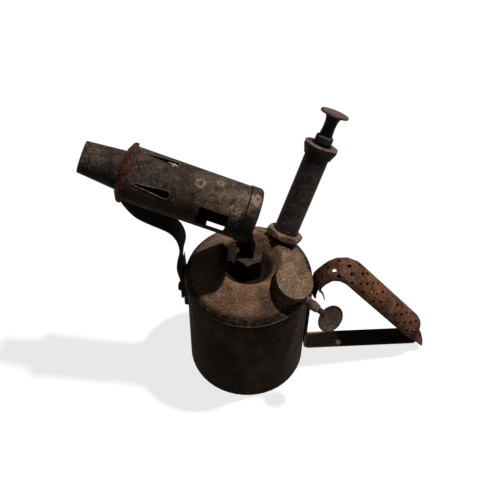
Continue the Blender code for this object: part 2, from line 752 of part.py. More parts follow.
def make_support_strap(burner_frame, riser_frame):
    """A collar pressed over the casing's front with a bent tail down to the tank's side."""
    path = rounded([(COLLAR_RADIUS, COLLAR_REAR), (COLLAR_RADIUS, COLLAR_REAR + COLLAR_BAND, COLLAR_ROUND),
                    (COLLAR_MOUTH, COLLAR_FRONT)])
    strap = turned("support_strap", sheet(path, COLLAR_WALL), burner_frame, BURNER_SIDES)
    tail = strip("add_strap_tail", strap_path(), STRAP_THICKNESS, STRAP_WIDTH, riser_frame)
    join(tail, rod("cut_collar_room", COLLAR_RADIUS - COLLAR_WALL / 2, COLLAR_REAR - STRAP_WIDTH,
                   COLLAR_FRONT + STRAP_WIDTH, burner_frame, BURNER_SIDES), "DIFFERENCE")
    join(strap, tail, "UNION")
    hole = rod("cut_bolt_hole", BOLT_SHANK + TOUCH, -OVERRUN, STRAP_THICKNESS + OVERRUN, bolt_frame())
    join(strap, hole, "DIFFERENCE")
    paint(strap, "dark_steel")


def bolt_frame():
    """The bolt's axis, square to the tank's side, from the strap's inner face outward."""
    out = spherical(BURNER_AZIMUTH, 0)
    seat = TANK_RADIUS + LUG_THICKNESS + 2 * TOUCH
    origin = out * seat + Vector((0, 0, BOLT_HEIGHT))
    return axis_frame("bolt_axis", origin, out, Vector((0, 0, 1)))


def make_strap_lug(riser_frame):
    """A thick tongue on the tank's side with a round lower end, curved to the wall behind."""
    half = LUG_WIDTH / 2
    inner = TANK_RADIUS + TOUCH
    outer = inner + LUG_THICKNESS
    angles = [pi + pi * i / ROD_SIDES for i in range(ROD_SIDES + 1)]
    outline = [(half * cos(a), LUG_BOTTOM + half + half * sin(a)) for a in angles]
    outline += [(half, LUG_TOP), (-half, LUG_TOP)]
    rings = [[(reach, y, z) for y, z in outline] for reach in (inner - LUG_THICKNESS, outer)]
    lug = lofted("strap_lug", rings, riser_frame)
    wall = rod("cut_wall_curve", inner, LUG_BOTTOM - OVERRUN, LUG_TOP + OVERRUN, riser_frame, TANK_SIDES * 2)
    join(lug, wall, "DIFFERENCE")
    hole = rod("cut_lug_hole", BOLT_SHANK + TOUCH, -LUG_THICKNESS - OVERRUN, OVERRUN, bolt_frame())
    join(lug, hole, "DIFFERENCE")
    paint(lug, "dark_steel")


def make_strap_bolt():
    frame = bolt_frame()
    seat = STRAP_THICKNESS + TOUCH
    corners = [(0, -LUG_THICKNESS), (BOLT_SHANK, -LUG_THICKNESS), (BOLT_SHANK, seat), (BOLT_HEAD, seat),
               (BOLT_HEAD, seat + BOLT_HEAD_HEIGHT, BOLT_HEAD_HEIGHT / 2), (0, seat + BOLT_HEAD_HEIGHT)]
    bolt = turned("strap_bolt", rounded(corners), frame, ROD_SIDES)
    paint(bolt, "dark_steel")


# Pump
def make_pump_boss(frame):
    top = PUMP_NUT_TOP - PUMP_NUT_HEIGHT - TOUCH
    boss = tube("pump_boss", PUMP_BOSS_RADIUS, BARREL_RADIUS + TOUCH, PUMP_BOSS_FOOT, top, frame)
    paint(boss, "dull_brass")


def make_pump_nut(frame):
    nut = hex_nut("pump_nut", PUMP_NUT_CORNERS, BARREL_RADIUS + TOUCH, PUMP_NUT_TOP - PUMP_NUT_HEIGHT,
                  PUMP_NUT_TOP, PUMP_NUT_CHAMFER, PUMP_NUT_TURN, frame)
    paint(nut, "dull_brass")


def barrel_top():
    return PUMP_CAP_TOP - PUMP_CAP_RECESS - PUMP_CAP_PLATE - TOUCH


def make_pump_barrel(frame):
    barrel = tube("pump_barrel", BARREL_RADIUS, BARREL_RADIUS - BARREL_WALL, BARREL_FOOT, barrel_top(),
                  frame, BURNER_SIDES)
    paint(barrel, "dull_brass")


def make_pump_cap(frame):
    """An inverted cup over the barrel's end, tapered below, with a raised rim round its top."""
    foot = PUMP_CAP_TOP - PUMP_CAP_HEIGHT
    floor = PUMP_CAP_TOP - PUMP_CAP_RECESS
    seat = BARREL_RADIUS + TOUCH
    corners = [(ROD_RADIUS + RUNNING, floor), (ROD_RADIUS + RUNNING, floor - PUMP_CAP_PLATE),
               (seat, floor - PUMP_CAP_PLATE), (seat, foot), (PUMP_CAP_FOOT_RADIUS, foot),
               (PUMP_CAP_RADIUS, foot + PUMP_CAP_TAPER), (PUMP_CAP_RADIUS, PUMP_CAP_TOP, PUMP_CAP_ROUND),
               (PUMP_CAP_RADIUS - PUMP_CAP_RIM, PUMP_CAP_TOP), (PUMP_CAP_RADIUS - PUMP_CAP_RIM, floor)]
    cap = turned("pump_cap", rounded(corners), frame, BURNER_SIDES)
    paint(cap, "dull_brass")


def make_pump_knob(frame):
    """A flat round knob on a waisted neck, with a collar that rests on the cap."""
    foot = PUMP_CAP_TOP - PUMP_CAP_RECESS + TOUCH
    under = KNOB_TOP - KNOB_THICKNESS
    bore = ROD_RADIUS + TOUCH
    top = foot + KNOB_COLLAR_HIGH
    corners = [(0, foot + KNOB_SOCKET), (bore, foot + KNOB_SOCKET), (bore, foot), (KNOB_FOOT, foot),
               (KNOB_COLLAR, foot + KNOB_COLLAR_LOW, KNOB_ROUND),
               (KNOB_COLLAR, top - KNOB_ROUND, KNOB_ROUND), (KNOB_NECK, top + KNOB_ROUND),
               (KNOB_NECK, under, KNOB_FLARE), (KNOB_RADIUS, under, KNOB_ROUND),
               (KNOB_RADIUS, KNOB_TOP, KNOB_ROUND), (0, KNOB_TOP)]
    knob = turned("pump_knob", rounded(corners), frame, BURNER_SIDES)
    paint(knob, "dark_steel")


def make_pump_rod(frame):
    low = PISTON_TOP - PISTON_PLATE - TOUCH - CUP_WALL - TOUCH - PISTON_NUT_HEIGHT
    high = PUMP_CAP_TOP - PUMP_CAP_RECESS + KNOB_SOCKET
    spindle = rod("pump_rod", ROD_RADIUS, low, high, frame)
    paint(spindle, "dark_steel")


def make_piston(frame):
    """A backing plate, a leather cup with its lip down, and a round nut below them."""
    bore = ROD_RADIUS + TOUCH
    plate = tube("piston_plate", PISTON_PLATE_RADIUS, bore, PISTON_TOP - PISTON_PLATE, PISTON_TOP, frame)
    paint(plate, "dull_brass")
    top = PISTON_TOP - PISTON_PLATE - TOUCH
    outer = BARREL_RADIUS - BARREL_WALL - RUNNING
    corners = [(bore, top), (bore, top - CUP_WALL), (outer - CUP_WALL, top - CUP_WALL),
               (outer - CUP_WALL, top - CUP_HEIGHT), (outer, top - CUP_HEIGHT), (outer, top, CUP_WALL / 2)]
    cup = turned("piston_leather", rounded(corners), frame)
    paint(cup, "leather")
    seat = top - CUP_WALL - TOUCH
    nut = tube("piston_nut", PISTON_NUT_RADIUS, bore, seat - PISTON_NUT_HEIGHT, seat, frame, ROD_SIDES)
    paint(nut, "old_brass")


def make_check_valve(frame):
    """A plug in the barrel's foot with a port, a loose disc under it and a ring that keeps the disc."""
    outer = BARREL_RADIUS - BARREL_WALL - TOUCH
    top = BARREL_FOOT + VALVE_HEIGHT
    corners = [(VALVE_PORT, top), (VALVE_PORT, BARREL_FOOT + VALVE_CHAMBER_DEPTH),
               (VALVE_CHAMBER, BARREL_FOOT + VALVE_CHAMBER_DEPTH), (VALVE_CHAMBER, BARREL_FOOT),
               (outer, BARREL_FOOT), (outer, top)]
    body = turned("valve_body", rounded(corners), frame)
    paint(body, "old_brass")
    under = BARREL_FOOT + VALVE_CHAMBER_DEPTH - TOUCH
    disc = rod("valve_disc", VALVE_DISC, under - VALVE_DISC_THICKNESS, under, frame)
    paint(disc, "leather")
    keeper = tube("valve_keeper", VALVE_CHAMBER - TOUCH, VALVE_PORT, BARREL_FOOT,
                  BARREL_FOOT + VALVE_KEEPER, frame, ROD_SIDES)
    paint(keeper, "old_brass")


# Filler and air screw
def seal_top():
    return -FILLER_CAP_HEIGHT - TOUCH


def make_filler_neck(filler_frame, air_frame):
    """The filler's tube with a tapered boss on its outer side for the air screw."""
    top = seal_top() - SEAL_THICKNESS - TOUCH
    neck = rod("filler_neck", NECK_RADIUS, NECK_FOOT, top, filler_frame, SMALL_SIDES)
    boss = turned("add_air_boss", [(0, 0), (AIR_BOSS_ROOT, 0), (AIR_BOSS_END, AIR_BOSS_REACH),
                                   (0, AIR_BOSS_REACH)], air_frame, ROD_SIDES)
    join(neck, boss, "UNION")
    join(neck, rod("cut_neck_bore", NECK_BORE, NECK_FOOT - OVERRUN, top + OVERRUN, filler_frame,
                   SMALL_SIDES), "DIFFERENCE")
    join(neck, rod("cut_air_bore", AIR_STEM + RUNNING, NECK_BORE / 2, AIR_BOSS_REACH + OVERRUN,
                   air_frame), "DIFFERENCE")
    paint(neck, "tank_paint")


def make_filler_cap(frame):
    plug = NECK_BORE - RUNNING
    foot = -FILLER_CAP_HEIGHT
    corners = [(0, foot - FILLER_PLUG_DEPTH), (plug, foot - FILLER_PLUG_DEPTH), (plug, foot),
               (FILLER_CAP_RADIUS, foot, FILLER_CAP_ROUND), (FILLER_CAP_RADIUS, 0, FILLER_CAP_ROUND),
               (0, 0)]
    cap = turned("filler_cap", rounded(corners), frame, BURNER_SIDES)
    paint(cap, "dull_brass")
    seal = tube("cap_washer", NECK_RADIUS, NECK_BORE, seal_top() - SEAL_THICKNESS, seal_top(), frame)
    paint(seal, "leather")


def make_gland(air_frame):
    low = AIR_BOSS_REACH + TOUCH
    high = low + GLAND_LENGTH
    bore = AIR_STEM + RUNNING
    ring = turned("air_screw_gland", [(bore, low), (GLAND_RADIUS, low), (GLAND_TIP_RADIUS, high), (bore, high)],
                  air_frame, ROD_SIDES)
    paint(ring, "old_brass")


def make_air_screw(air_frame):
    """A pointed stem with a flat oval thumb piece in its plane."""
    root = THUMB_OUT - THUMB_HALF_LENGTH
    outline = [(0, AIR_STEM_START), (AIR_STEM, AIR_STEM_START + AIR_STEM),
               (AIR_STEM, root - AIR_STEM_FLARE), (AIR_STEM_NECK, root + AIR_STEM),
               (0, root + AIR_STEM)]
    screw = turned("air_screw", outline, air_frame, ROD_SIDES)
    join(screw, thumb_piece(air_frame), "UNION")
    paint(screw, "dull_brass")


def thumb_piece(air_frame):
    """An oval coin with a raised rim on both faces, standing on edge along the screw's axis."""
    bm = bmesh.new()
    bmesh.ops.create_circle(bm, cap_ends=True, segments=SMALL_SIDES, radius=1)
    raised = bmesh.ops.extrude_face_region(bm, geom=bm.faces[:])["geom"]
    bmesh.ops.translate(bm, verts=[part for part in raised if isinstance(part, bmesh.types.BMVert)],
                        vec=(0, 0, 1))
    size = Vector((THUMB_HALF_WIDTH, THUMB_HALF_LENGTH, THUMB_THICKNESS))
    bmesh.ops.scale(bm, vec=size, verts=bm.verts)
    bmesh.ops.translate(bm, verts=bm.verts, vec=(0, 0, -THUMB_THICKNESS / 2))
    flats = [face for face in bm.faces if len(face.verts) > 4]
    for face in flats:
        lift = face.normal.copy()
        middle = face.calc_center_median()
        inward = -1 if middle.z * lift.z > 0 else 1
        bmesh.ops.inset_individual(bm, faces=[face], thickness=THUMB_RIM)
        bmesh.ops.translate(bm, verts=face.verts, vec=lift * (THUMB_RECESS * inward))
    stand = Matrix.Rotation(pi / 2, 4, "X")
    face_turn = Matrix.Rotation(THUMB_TURN + pi / 2, 4, "Z")
    place = Matrix.Translation((0, 0, THUMB_OUT))
    bmesh.ops.transform(bm, matrix=place @ face_turn @ stand, verts=bm.verts)
    return add_object("add_thumb_piece", bm, air_frame)


# Handle
def grip_path():
    """The line midway between the grip's edges, from beside the tank to past the fold."""
    foot = TANK_RADIUS + HANDLE_THICKNESS + 2 * TOUCH + GRIP_END_DEPTH
    drop = GRIP_TOP_HEIGHT - GRIP_TIP_HEIGHT
    tip = GRIP_TOP_OUT - drop / tan(GRIP_SLOPE)
    return rounded([(foot, GRIP_FOOT_HEIGHT), (foot, GRIP_BACK_HEIGHT, GRIP_BACK_ROUND),
                    (GRIP_TOP_OUT, GRIP_TOP_HEIGHT, GRIP_TOP_ROUND), (tip, GRIP_TIP_HEIGHT)])


def handle_fold():
    """Where the strap's slanting tail would meet its level arm."""
    below = TOUCH + HANDLE_THICKNESS / 2
    side = Vector((-sin(GRIP_SLOPE), cos(GRIP_SLOPE))) * below
    start = Vector((GRIP_TOP_OUT, GRIP_TOP_HEIGHT)) - side
    out = start.x - (start.y - HANDLE_ARM_HEIGHT) / tan(GRIP_SLOPE)
    return Vector((out, HANDLE_ARM_HEIGHT))


def make_handle_strap():
    """One strap: up the tank's side, out along the bottom and folded back under the grip."""
    side = TANK_RADIUS + TOUCH + HANDLE_THICKNESS / 2
    fold = handle_fold()
    tail = fold - Vector((cos(GRIP_SLOPE), sin(GRIP_SLOPE))) * HANDLE_TAIL
    path = rounded([(side, HANDLE_STRIP_TOP), (side, HANDLE_ARM_HEIGHT, HANDLE_CORNER_ROUND),
                    (*fold, HANDLE_FOLD_ROUND), tuple(tail)])
    strap = strip("handle_strap", path, HANDLE_THICKNESS, HANDLE_WIDTH)
    drill_rivet_holes(strap)
    paint(strap, "rusty_steel")


def travel(path, distance):
    """The spot and the direction at a distance along a path."""
    for first, second in zip(path, path[1:]):
        step = second - first
        if distance <= step.length or second is path[-1]:
            return first + step.normalized() * distance, step.normalized()
        distance -= step.length


def path_length(path):
    return sum((second - first).length for first, second in zip(path, path[1:]))


def swell(distance, length):
    """A smooth share from the flattened ends to the full section, 0 to 1."""
    share = min((distance - GRIP_TOP_FLAT) / GRIP_TAPER,
                (length - distance - GRIP_FOLD_FLAT) / GRIP_FOLD_TAPER)
    share = max(0, min(1, share))
    return share * share * (3 - 2 * share)


def grip_spot(path, distance, turn, inset=0):
    """A spot on the grip's outer face, at a turn from its near edge to its far edge."""
    length = path_length(path)
    spot, step = travel(path, distance)
    share = swell(distance, length)
    half_width = GRIP_END_HALF_WIDTH + (GRIP_HALF_WIDTH - GRIP_END_HALF_WIDTH) * share - inset
    depth = GRIP_END_DEPTH + (GRIP_DEPTH - GRIP_END_DEPTH) * share - inset
    lift = Vector((-step.y, step.x)) * (depth * sin(turn))
    return Vector((spot.x + lift.x, -half_width * cos(turn), spot.y + lift.y))


def make_handle_grip():
    """A half-round channel of perforated sheet, open towards the fingers."""
    path = grip_path()
    length = path_length(path)
    rings = []
    turns = [pi * i / GRIP_ARCH_STEPS for i in range(GRIP_ARCH_STEPS + 1)]
    for i in range(GRIP_STATIONS + 1):
        distance = length * i / GRIP_STATIONS
        outer = [grip_spot(path, distance, turn) for turn in turns]
        inner = [grip_spot(path, distance, turn, GRIP_SHEET) for turn in turns]
        rings.append(outer + inner[::-1])
    grip = lofted("handle_grip", rings)
    join(grip, grip_hole_cutter(path), "DIFFERENCE")
    drill_rivet_holes(grip)
    paint(grip, "rusty_steel")


def grip_hole_cutter(path):
    """Short round pins through the sheet, in slanting rows near the top and near the fold."""
    bm = bmesh.new()
    length = path_length(path)
    for start, rows in ((GRIP_HOLE_START, range(8)), (GRIP_HOLE_START_LOW, range(1, 6))):
        for row in rows:
            for share in NARROW_ROW_SHARES if row % 2 else WIDE_ROW_SHARES:
                distance = start + GRIP_HOLE_PITCH * row - GRIP_HOLE_SLANT * share
                depth = GRIP_END_DEPTH + (GRIP_DEPTH - GRIP_END_DEPTH) * swell(distance, length)
                if depth * sin(pi * share) > GRIP_HOLE + 2 * TOUCH:
                    add_pin(bm, path, distance, pi * share)
    return add_object("cut_grip_holes", bm, None)


def add_pin(bm, path, distance, turn):
    spot = grip_spot(path, distance, turn)
    deeper = grip_spot(path, distance, turn, GRIP_SHEET)
    outward = (spot - deeper).normalized()
    place = Matrix.Translation((spot + deeper) / 2) @ outward.to_track_quat("Z", "Y").to_matrix().to_4x4()
    bmesh.ops.create_cone(bm, cap_ends=True, segments=HOLE_SIDES, radius1=GRIP_HOLE, radius2=GRIP_HOLE,
                          depth=GRIP_SHEET + 2 * OVERRUN, matrix=place)


def rivet_frame(inset_from_top=None, inset_from_bottom=None):
    """A rivet's axis, from the crown's outer face outward."""
    path = grip_path()
    distance = inset_from_top or path_length(path) - inset_from_bottom
    step = travel(path, distance)[1]
    outward = Vector((-step.y, 0, step.x))
    return axis_frame("rivet_axis", grip_spot(path, distance, pi / 2), outward, Vector((0, 1, 0)))


def drill_rivet_holes(piece):
    reach = GRIP_DEPTH + HANDLE_THICKNESS
    past = TOUCH + HANDLE_THICKNESS + OVERRUN
    for end, frame in (("top", rivet_frame(RIVET_TOP_INSET)),
                       ("bottom", rivet_frame(None, RIVET_BOTTOM_INSET))):
        hole = rod(f"cut_{piece.name}_{end}_rivet", RIVET_SHANK + TOUCH, -reach, past, frame)
        join(piece, hole, "DIFFERENCE")


def make_rivets():
    """At the top the head is inside the channel, and at the fold it is on the channel's crown."""
    frame = rivet_frame(RIVET_TOP_INSET)
    under = -GRIP_SHEET - TOUCH
    end = TOUCH + HANDLE_THICKNESS
    outline = [(0, end), (RIVET_SHANK, end), (RIVET_SHANK, under), (RIVET_HEAD, under),
               (RIVET_SHANK, under - RIVET_HEAD_HEIGHT), (0, under - RIVET_HEAD_HEIGHT)]
    paint(turned("handle_rivet_top", outline, frame, ROD_SIDES), "rusty_steel")
    frame = rivet_frame(None, RIVET_BOTTOM_INSET)
    path = grip_path()
    share = swell(path_length(path) - RIVET_BOTTOM_INSET, path_length(path))
    end = -GRIP_END_DEPTH - (GRIP_DEPTH - GRIP_END_DEPTH) * share - TOUCH - HANDLE_THICKNESS
    outline = [(0, end), (RIVET_SHANK, end), (RIVET_SHANK, TOUCH), (RIVET_HEAD, TOUCH),
               (RIVET_SHANK, TOUCH + RIVET_HEAD_HEIGHT), (0, TOUCH + RIVET_HEAD_HEIGHT)]
    paint(turned("handle_rivet_bottom", outline, frame, ROD_SIDES), "rusty_steel")


def main():
    clear_scene()
    out = spherical(BURNER_AZIMUTH, 0)
    up = Vector((0, 0, 1))
    riser_frame = axis_frame("riser_axis", Vector((0, 0, 0)), up, out)
    burner_frame = axis_frame("burner_axis", Vector((0, 0, BURNER_HEIGHT)),
                              spherical(BURNER_AZIMUTH, BURNER_RISE), up)
    pump_foot = spherical(PUMP_AZIMUTH, 0) * PUMP_OUT + up * dome_height(PUMP_OUT)
    pump_frame = axis_frame("pump_axis", pump_foot, spherical(PUMP_HEADING, pi / 2 - PUMP_LEAN),
                            spherical(PUMP_HEADING, 0))
    filler_top = spherical(FILLER_AZIMUTH, 0) * FILLER_OUT + up * FILLER_HEIGHT
    filler_axis = spherical(FILLER_AZIMUTH, pi / 2 - FILLER_LEAN)
    filler_frame = axis_frame("filler_axis", filler_top, filler_axis, spherical(FILLER_AZIMUTH, 0))
    air_axis = Matrix.Rotation(AIR_TURN, 3, filler_axis) @ spherical(FILLER_AZIMUTH, -FILLER_LEAN)
    air_frame = axis_frame("air_screw_axis", filler_top + filler_axis * AIR_LEVEL, air_axis, filler_axis)
    bpy.context.view_layer.update()
    make_tank_wall()
    make_tank_base()
    make_tank_top(pump_frame, filler_frame, air_frame)
    make_riser()
    make_pickup_tube()
    make_vaporiser(burner_frame, riser_frame)
    make_stem_plug(riser_frame)
    make_jet(burner_frame)
    make_vapour_loop(burner_frame)
    make_casing(burner_frame)
    make_flame_tube(burner_frame)
    make_front_plate(burner_frame)
    make_support_strap(burner_frame, riser_frame)
    make_strap_lug(riser_frame)
    make_strap_bolt()
    make_pump_boss(pump_frame)
    make_pump_nut(pump_frame)
    make_pump_barrel(pump_frame)
    make_pump_cap(pump_frame)
    make_pump_knob(pump_frame)
    make_pump_rod(pump_frame)
    make_piston(pump_frame)
    make_check_valve(pump_frame)
    make_filler_neck(filler_frame, air_frame)
    make_filler_cap(filler_frame)
    make_gland(air_frame)
    make_air_screw(air_frame)
    make_handle_strap()
    make_handle_grip()
    make_rivets()


main()
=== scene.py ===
"""Looks of the paraffin blow lamp: aged metal, seams, threads, light and the camera.

Metres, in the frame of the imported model: Z up, the handle along +X, the burner towards -X.
"""
import bpy
import bmesh
import json
import random
from functools import partial
from math import cos, pi, radians, sin, tau
from types import SimpleNamespace
from mathutils import Matrix, Vector
from mathutils.bvhtree import BVHTree


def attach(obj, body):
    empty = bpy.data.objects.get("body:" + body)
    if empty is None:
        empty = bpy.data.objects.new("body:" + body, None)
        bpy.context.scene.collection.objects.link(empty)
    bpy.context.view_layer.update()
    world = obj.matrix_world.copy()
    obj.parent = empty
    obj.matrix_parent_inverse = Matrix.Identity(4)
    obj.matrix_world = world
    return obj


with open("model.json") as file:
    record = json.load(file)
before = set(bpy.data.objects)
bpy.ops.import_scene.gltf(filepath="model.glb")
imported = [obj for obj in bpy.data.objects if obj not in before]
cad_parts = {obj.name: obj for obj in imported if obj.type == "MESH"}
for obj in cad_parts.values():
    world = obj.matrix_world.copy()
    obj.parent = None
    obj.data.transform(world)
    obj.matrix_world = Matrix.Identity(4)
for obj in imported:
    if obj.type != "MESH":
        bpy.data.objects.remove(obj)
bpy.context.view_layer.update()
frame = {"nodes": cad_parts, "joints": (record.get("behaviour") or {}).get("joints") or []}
nodes = frame["nodes"]
joints = {joint["name"]: joint for joint in frame["joints"]}

# Camera, fitted to the photograph
CAMERA_TILT = 0.8709342
CAMERA_DISTANCE = 0.804996
CAMERA_AIM = Vector((0.00054766, 0.11680911, 0))
CAMERA_ROLL = 0.0291432
CAMERA_TURN = radians(-5)
CAMERA_NEAR = 0.01
CAMERA_FAR = 20
SENSOR_WIDTH = 36
FOCAL_SHARE = 800 / 500

# Light and floor
LIGHT_AIM = Vector((0, 0, 0.11))
LIGHTS = (  # name, azimuth, elevation, distance, size and power
    ("key", radians(12), radians(67), 3, 0.14, 105),
    ("fill", radians(-110), radians(55), 1.5, 1, 0.3))
SKY_STRENGTH = 0.032
SKY_COLOUR = (0.38, 0.62, 1)
WHITE = (1, 1, 1)
FLOOR_HALF_WIDTH = 4
FLOOR_DROP = 0.0002
FLOOR_COLOUR = (0.24, 0.24, 0.24)
FLOOR_GLOW = 0.8

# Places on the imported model
UP = Vector((0, 0, 1))
SKIRT_BOTTOM = 0.108
SKIRT_RADIUS = 0.05165
BURNER_FOOT = Vector((0, 0, 0.179))
BURNER_RISE = radians(17.1)
BURNER_AZIMUTH = radians(167)
CASING_RADIUS = 0.0206
COLLAR_STATION = 0.0965
SLOT_TURNS = [radians(72 * i - 12) for i in range(5)]
SLOT_REAR = 0.0615
SLOT_FRONT = 0.089
SLOT_HALF_WIDTH = 0.0031
PUMP_OUT = 0.0365
PUMP_AZIMUTH = radians(38.9)
PUMP_FOOT_HEIGHT = 0.1225
PUMP_BOSS_RADIUS = 0.0113
PUMP_NUT_FOOT = 0.0036
PUMP_CAP_FOOT = 0.0756
PUMP_CAP_FOOT_RADIUS = 0.0109
PUMP_CAP_RADIUS = 0.0135
PUMP_CAP_TOP = 0.0854
PUMP_COLLAR_TOP = 0.0932
PUMP_DISC_FOOT = 0.1101
FILLER_NECK_RADIUS = 0.0126
THUMB_HALF_LENGTH = 0.0086
THUMB_HALF_WIDTH = 0.0114
THUMB_THICKNESS = 0.0024
THUMB_FACE = Vector((-0.0153, -0.6708, 0.7415))

# Sizes of the added pieces
BEAD_RADIUS = 0.0008
SOLDER_RADIUS = 0.0011
SOLDER_OUT = 0.0006
RAY_START = 0.02
THREAD_RADIUS = 0.00038
THREAD_TURNS = 2.4
THREAD_STEPS = 96
THREAD_START = 0.0002
THREAD_SHORT = 0.0006
CAP_BEAD_RADIUS = 0.0005
CAP_BEAD_RISE = 0.0006
CAP_RIM_RADIUS = 0.0006
CAP_RIM_DROP = 0.0005
CAP_RIM_IN = 0.0004
WAIST_SIDES = 40
WAIST_BORE = 0.0038
WAIST_LAP = 0.0004
WAIST = ((0.005, 0.0965), (0.0048, 0.1), (0.0049, 0.1035), (0.0053, 0.1062), (0.0061, 0.1084),
         (0.0074, 0.1099))
SLOT_TIP_HALF_WIDTH = 0.0006
SLOT_TIP_SHORT = 0.0003
SLOT_ARC_STEPS = 12
LIP_RADIUS = 0.0003
LIP_RISE = 0.0001
LIP_SPREAD = 1.06
TONGUE_BENDS = (0.001, 0.0003, 0.0003, 0.0003, 0.003)
TONGUE_CURVE = 1.4
TONGUE_ROWS = 10
TONGUE_ACROSS = (-1, -0.5, 0, 0.5, 1)
TONGUE_ROOT = SLOT_FRONT - 0.002
TONGUE_TIP = SLOT_REAR + 0.0006
TONGUE_DROP = 0.0012
TONGUE_THICKNESS = 0.0007
TONGUE_HALF_ROOT = 0.0008
TONGUE_HALF_GROWTH = 0.0025
TONGUE_TIP_SHARE = 0.6
THUMB_RIM_RADIUS = 0.0005
THUMB_RIM_IN = 0.0006
THUMB_RIM_SUNK = 0.0003
THUMB_RIM_STEPS = 56
TANG_PATH = ((0.0566, 0.0985), (0.0585, 0.0955), (0.0602, 0.0925), (0.0616, 0.0885),
             (0.0626, 0.084))
TANG_Y = -0.0102
TANG_HALF_WIDTH = 0.0016
TANG_TAPER = 0.00022
SHEET_HALF_THICKNESS = 0.0005
LINER_PATH = ((0.1515, 0.0166, 0.009), (0.1408, 0.0302, 0.0122), (0.1162, 0.0612, 0.0124),
              (0.1124, 0.066, 0.0124), (0.1078, 0.0718, 0.0124), (0.104, 0.0766, 0.0124),
              (0.0856, 0.0999, 0.0124), (0.079, 0.1064, 0.0116), (0.072, 0.1089, 0.0106),
              (0.0668, 0.1076, 0.0098), (0.0615, 0.103, 0.0098), (0.0588, 0.0985, 0.0098),
              (0.0582, 0.093, 0.0098))
LINER_HOLES = {2: (0.0068, 0.0124), 4: (-0.0008, 0.0056), 8: (-0.0015, 0.0045)}
LINER_LEAST_SHARE = 0.01
WELD_DISTANCE = 0.000004
SHARP_ANGLE = radians(33)


def spherical(azimuth, elevation):
    return Vector((cos(elevation) * cos(azimuth), cos(elevation) * sin(azimuth), sin(elevation)))


def make_camera():
    back = Vector((0, -cos(CAMERA_TILT), sin(CAMERA_TILT)))
    right = Vector((1, 0, 0))
    up = back.cross(right)
    turned_right = cos(CAMERA_ROLL) * right + sin(CAMERA_ROLL) * up
    turned_up = -sin(CAMERA_ROLL) * right + cos(CAMERA_ROLL) * up
    turn = Matrix.Rotation(CAMERA_TURN, 3, "Z")
    axes = Matrix((turn @ turned_right, turn @ turned_up, turn @ back)).transposed()
    place = turn @ (CAMERA_AIM + back * CAMERA_DISTANCE)
    camera = bpy.data.cameras.new("camera")
    camera.sensor_width = SENSOR_WIDTH
    camera.lens = FOCAL_SHARE * SENSOR_WIDTH
    camera.clip_start = CAMERA_NEAR
    camera.clip_end = CAMERA_FAR
    obj = bpy.data.objects.new("camera", camera)
    bpy.context.collection.objects.link(obj)
    obj.matrix_world = Matrix.Translation(place) @ axes.to_4x4()
    bpy.context.scene.camera = obj


# Node trees
def add_node(tree, kind, settings=None, **values):
    """A node with its settings, and its inputs set to values or linked to other nodes' outputs."""
    node = tree.nodes.new(kind)
    for name, value in (settings or {}).items():
        setattr(node, name, value)
    for name, value in values.items():
        put(tree, node, name.replace("_", " "), value)
    return node


def put(tree, node, name, value):
    """Sets or links an input, by its name or, as i0, i1 and so on, by its number."""
    numbered = name[0] == "i" and name[1:].isdigit()
    socket = node.inputs[int(name[1:])] if numbered else node.inputs[name]
    if isinstance(value, bpy.types.NodeSocket):
        tree.links.new(value, socket)
    elif socket.type == "RGBA" and len(value) == 3:
        socket.default_value = (*value, 1)
    else:
        socket.default_value = value


def math_node(tree, operation, a, b=0, clamp=False):
    settings = {"operation": operation, "use_clamp": clamp}
    return add_node(tree, "ShaderNodeMath", settings, i0=a, i1=b).outputs[0]


def product(tree, a, b):
    return math_node(tree, "MULTIPLY", a, b)


def weighted(tree, a, b, weights):
    return math_node(tree, "ADD", product(tree, a, weights[0]), product(tree, b, weights[1]))


def vector_node(tree, operation, a, b=(0, 0, 0)):
    """A vector operation's result, a number or a vector as the operation gives."""
    node = add_node(tree, "ShaderNodeVectorMath", {"operation": operation}, i0=a, i1=b)
    return node.outputs["Value" if operation in ("DOT_PRODUCT", "DISTANCE", "LENGTH") else "Vector"]


def mix_colour(tree, share, a, b):
    node = add_node(tree, "ShaderNodeMix", {"data_type": "RGBA"})
    put(tree, node, "i0", share)
    put(tree, node, "i6", a)
    put(tree, node, "i7", b)
    return node.outputs[2]


def tinted(tree, colour, mask, share, tint):
    """A colour turned to a tint by a share of a mask."""
    return mix_colour(tree, product(tree, mask, share), colour, tint)


def marked(tree, colour, mask, name):
    """A colour with the mark of a name in TINTS where a mask is."""
    return tinted(tree, colour, mask, *TINTS[name])


def span(tree, value, low, high, to_low=0, to_high=1):
    node = add_node(tree, "ShaderNodeMapRange", {"interpolation_type": "SMOOTHSTEP"}, Value=value,
                    From_Min=low, From_Max=high, To_Min=to_low, To_Max=to_high)
    return node.outputs[0]


def band(tree, value, low, high, soft):
    return product(tree, span(tree, value, low - soft, low), span(tree, value, high + soft, high))


def ramp(tree, share, finish):
    """The finish's three colours, dark to light, over a share."""
    node = add_node(tree, "ShaderNodeValToRGB", Fac=share)
    elements = node.color_ramp.elements
    elements.new(0.5)
    for element, position, colour in zip(elements, finish.at, finish.colours):
        element.position = position
        element.color = (*colour, 1)
    return node.outputs[0]


def noise_node(tree, coords, scale, detail=4, roughness=0.55, distortion=0):
    node = add_node(tree, "ShaderNodeTexNoise", Vector=coords, Scale=scale, Detail=detail,
                    Roughness=roughness, Distortion=distortion)
    return node.outputs[0]


def noise_mask(tree, coords, noise, *edges):
    return span(tree, noise_node(tree, coords, *noise), *edges)


def stretched(tree, coords, scale):
    return add_node(tree, "ShaderNodeMapping", Vector=coords, Scale=scale).outputs[0]


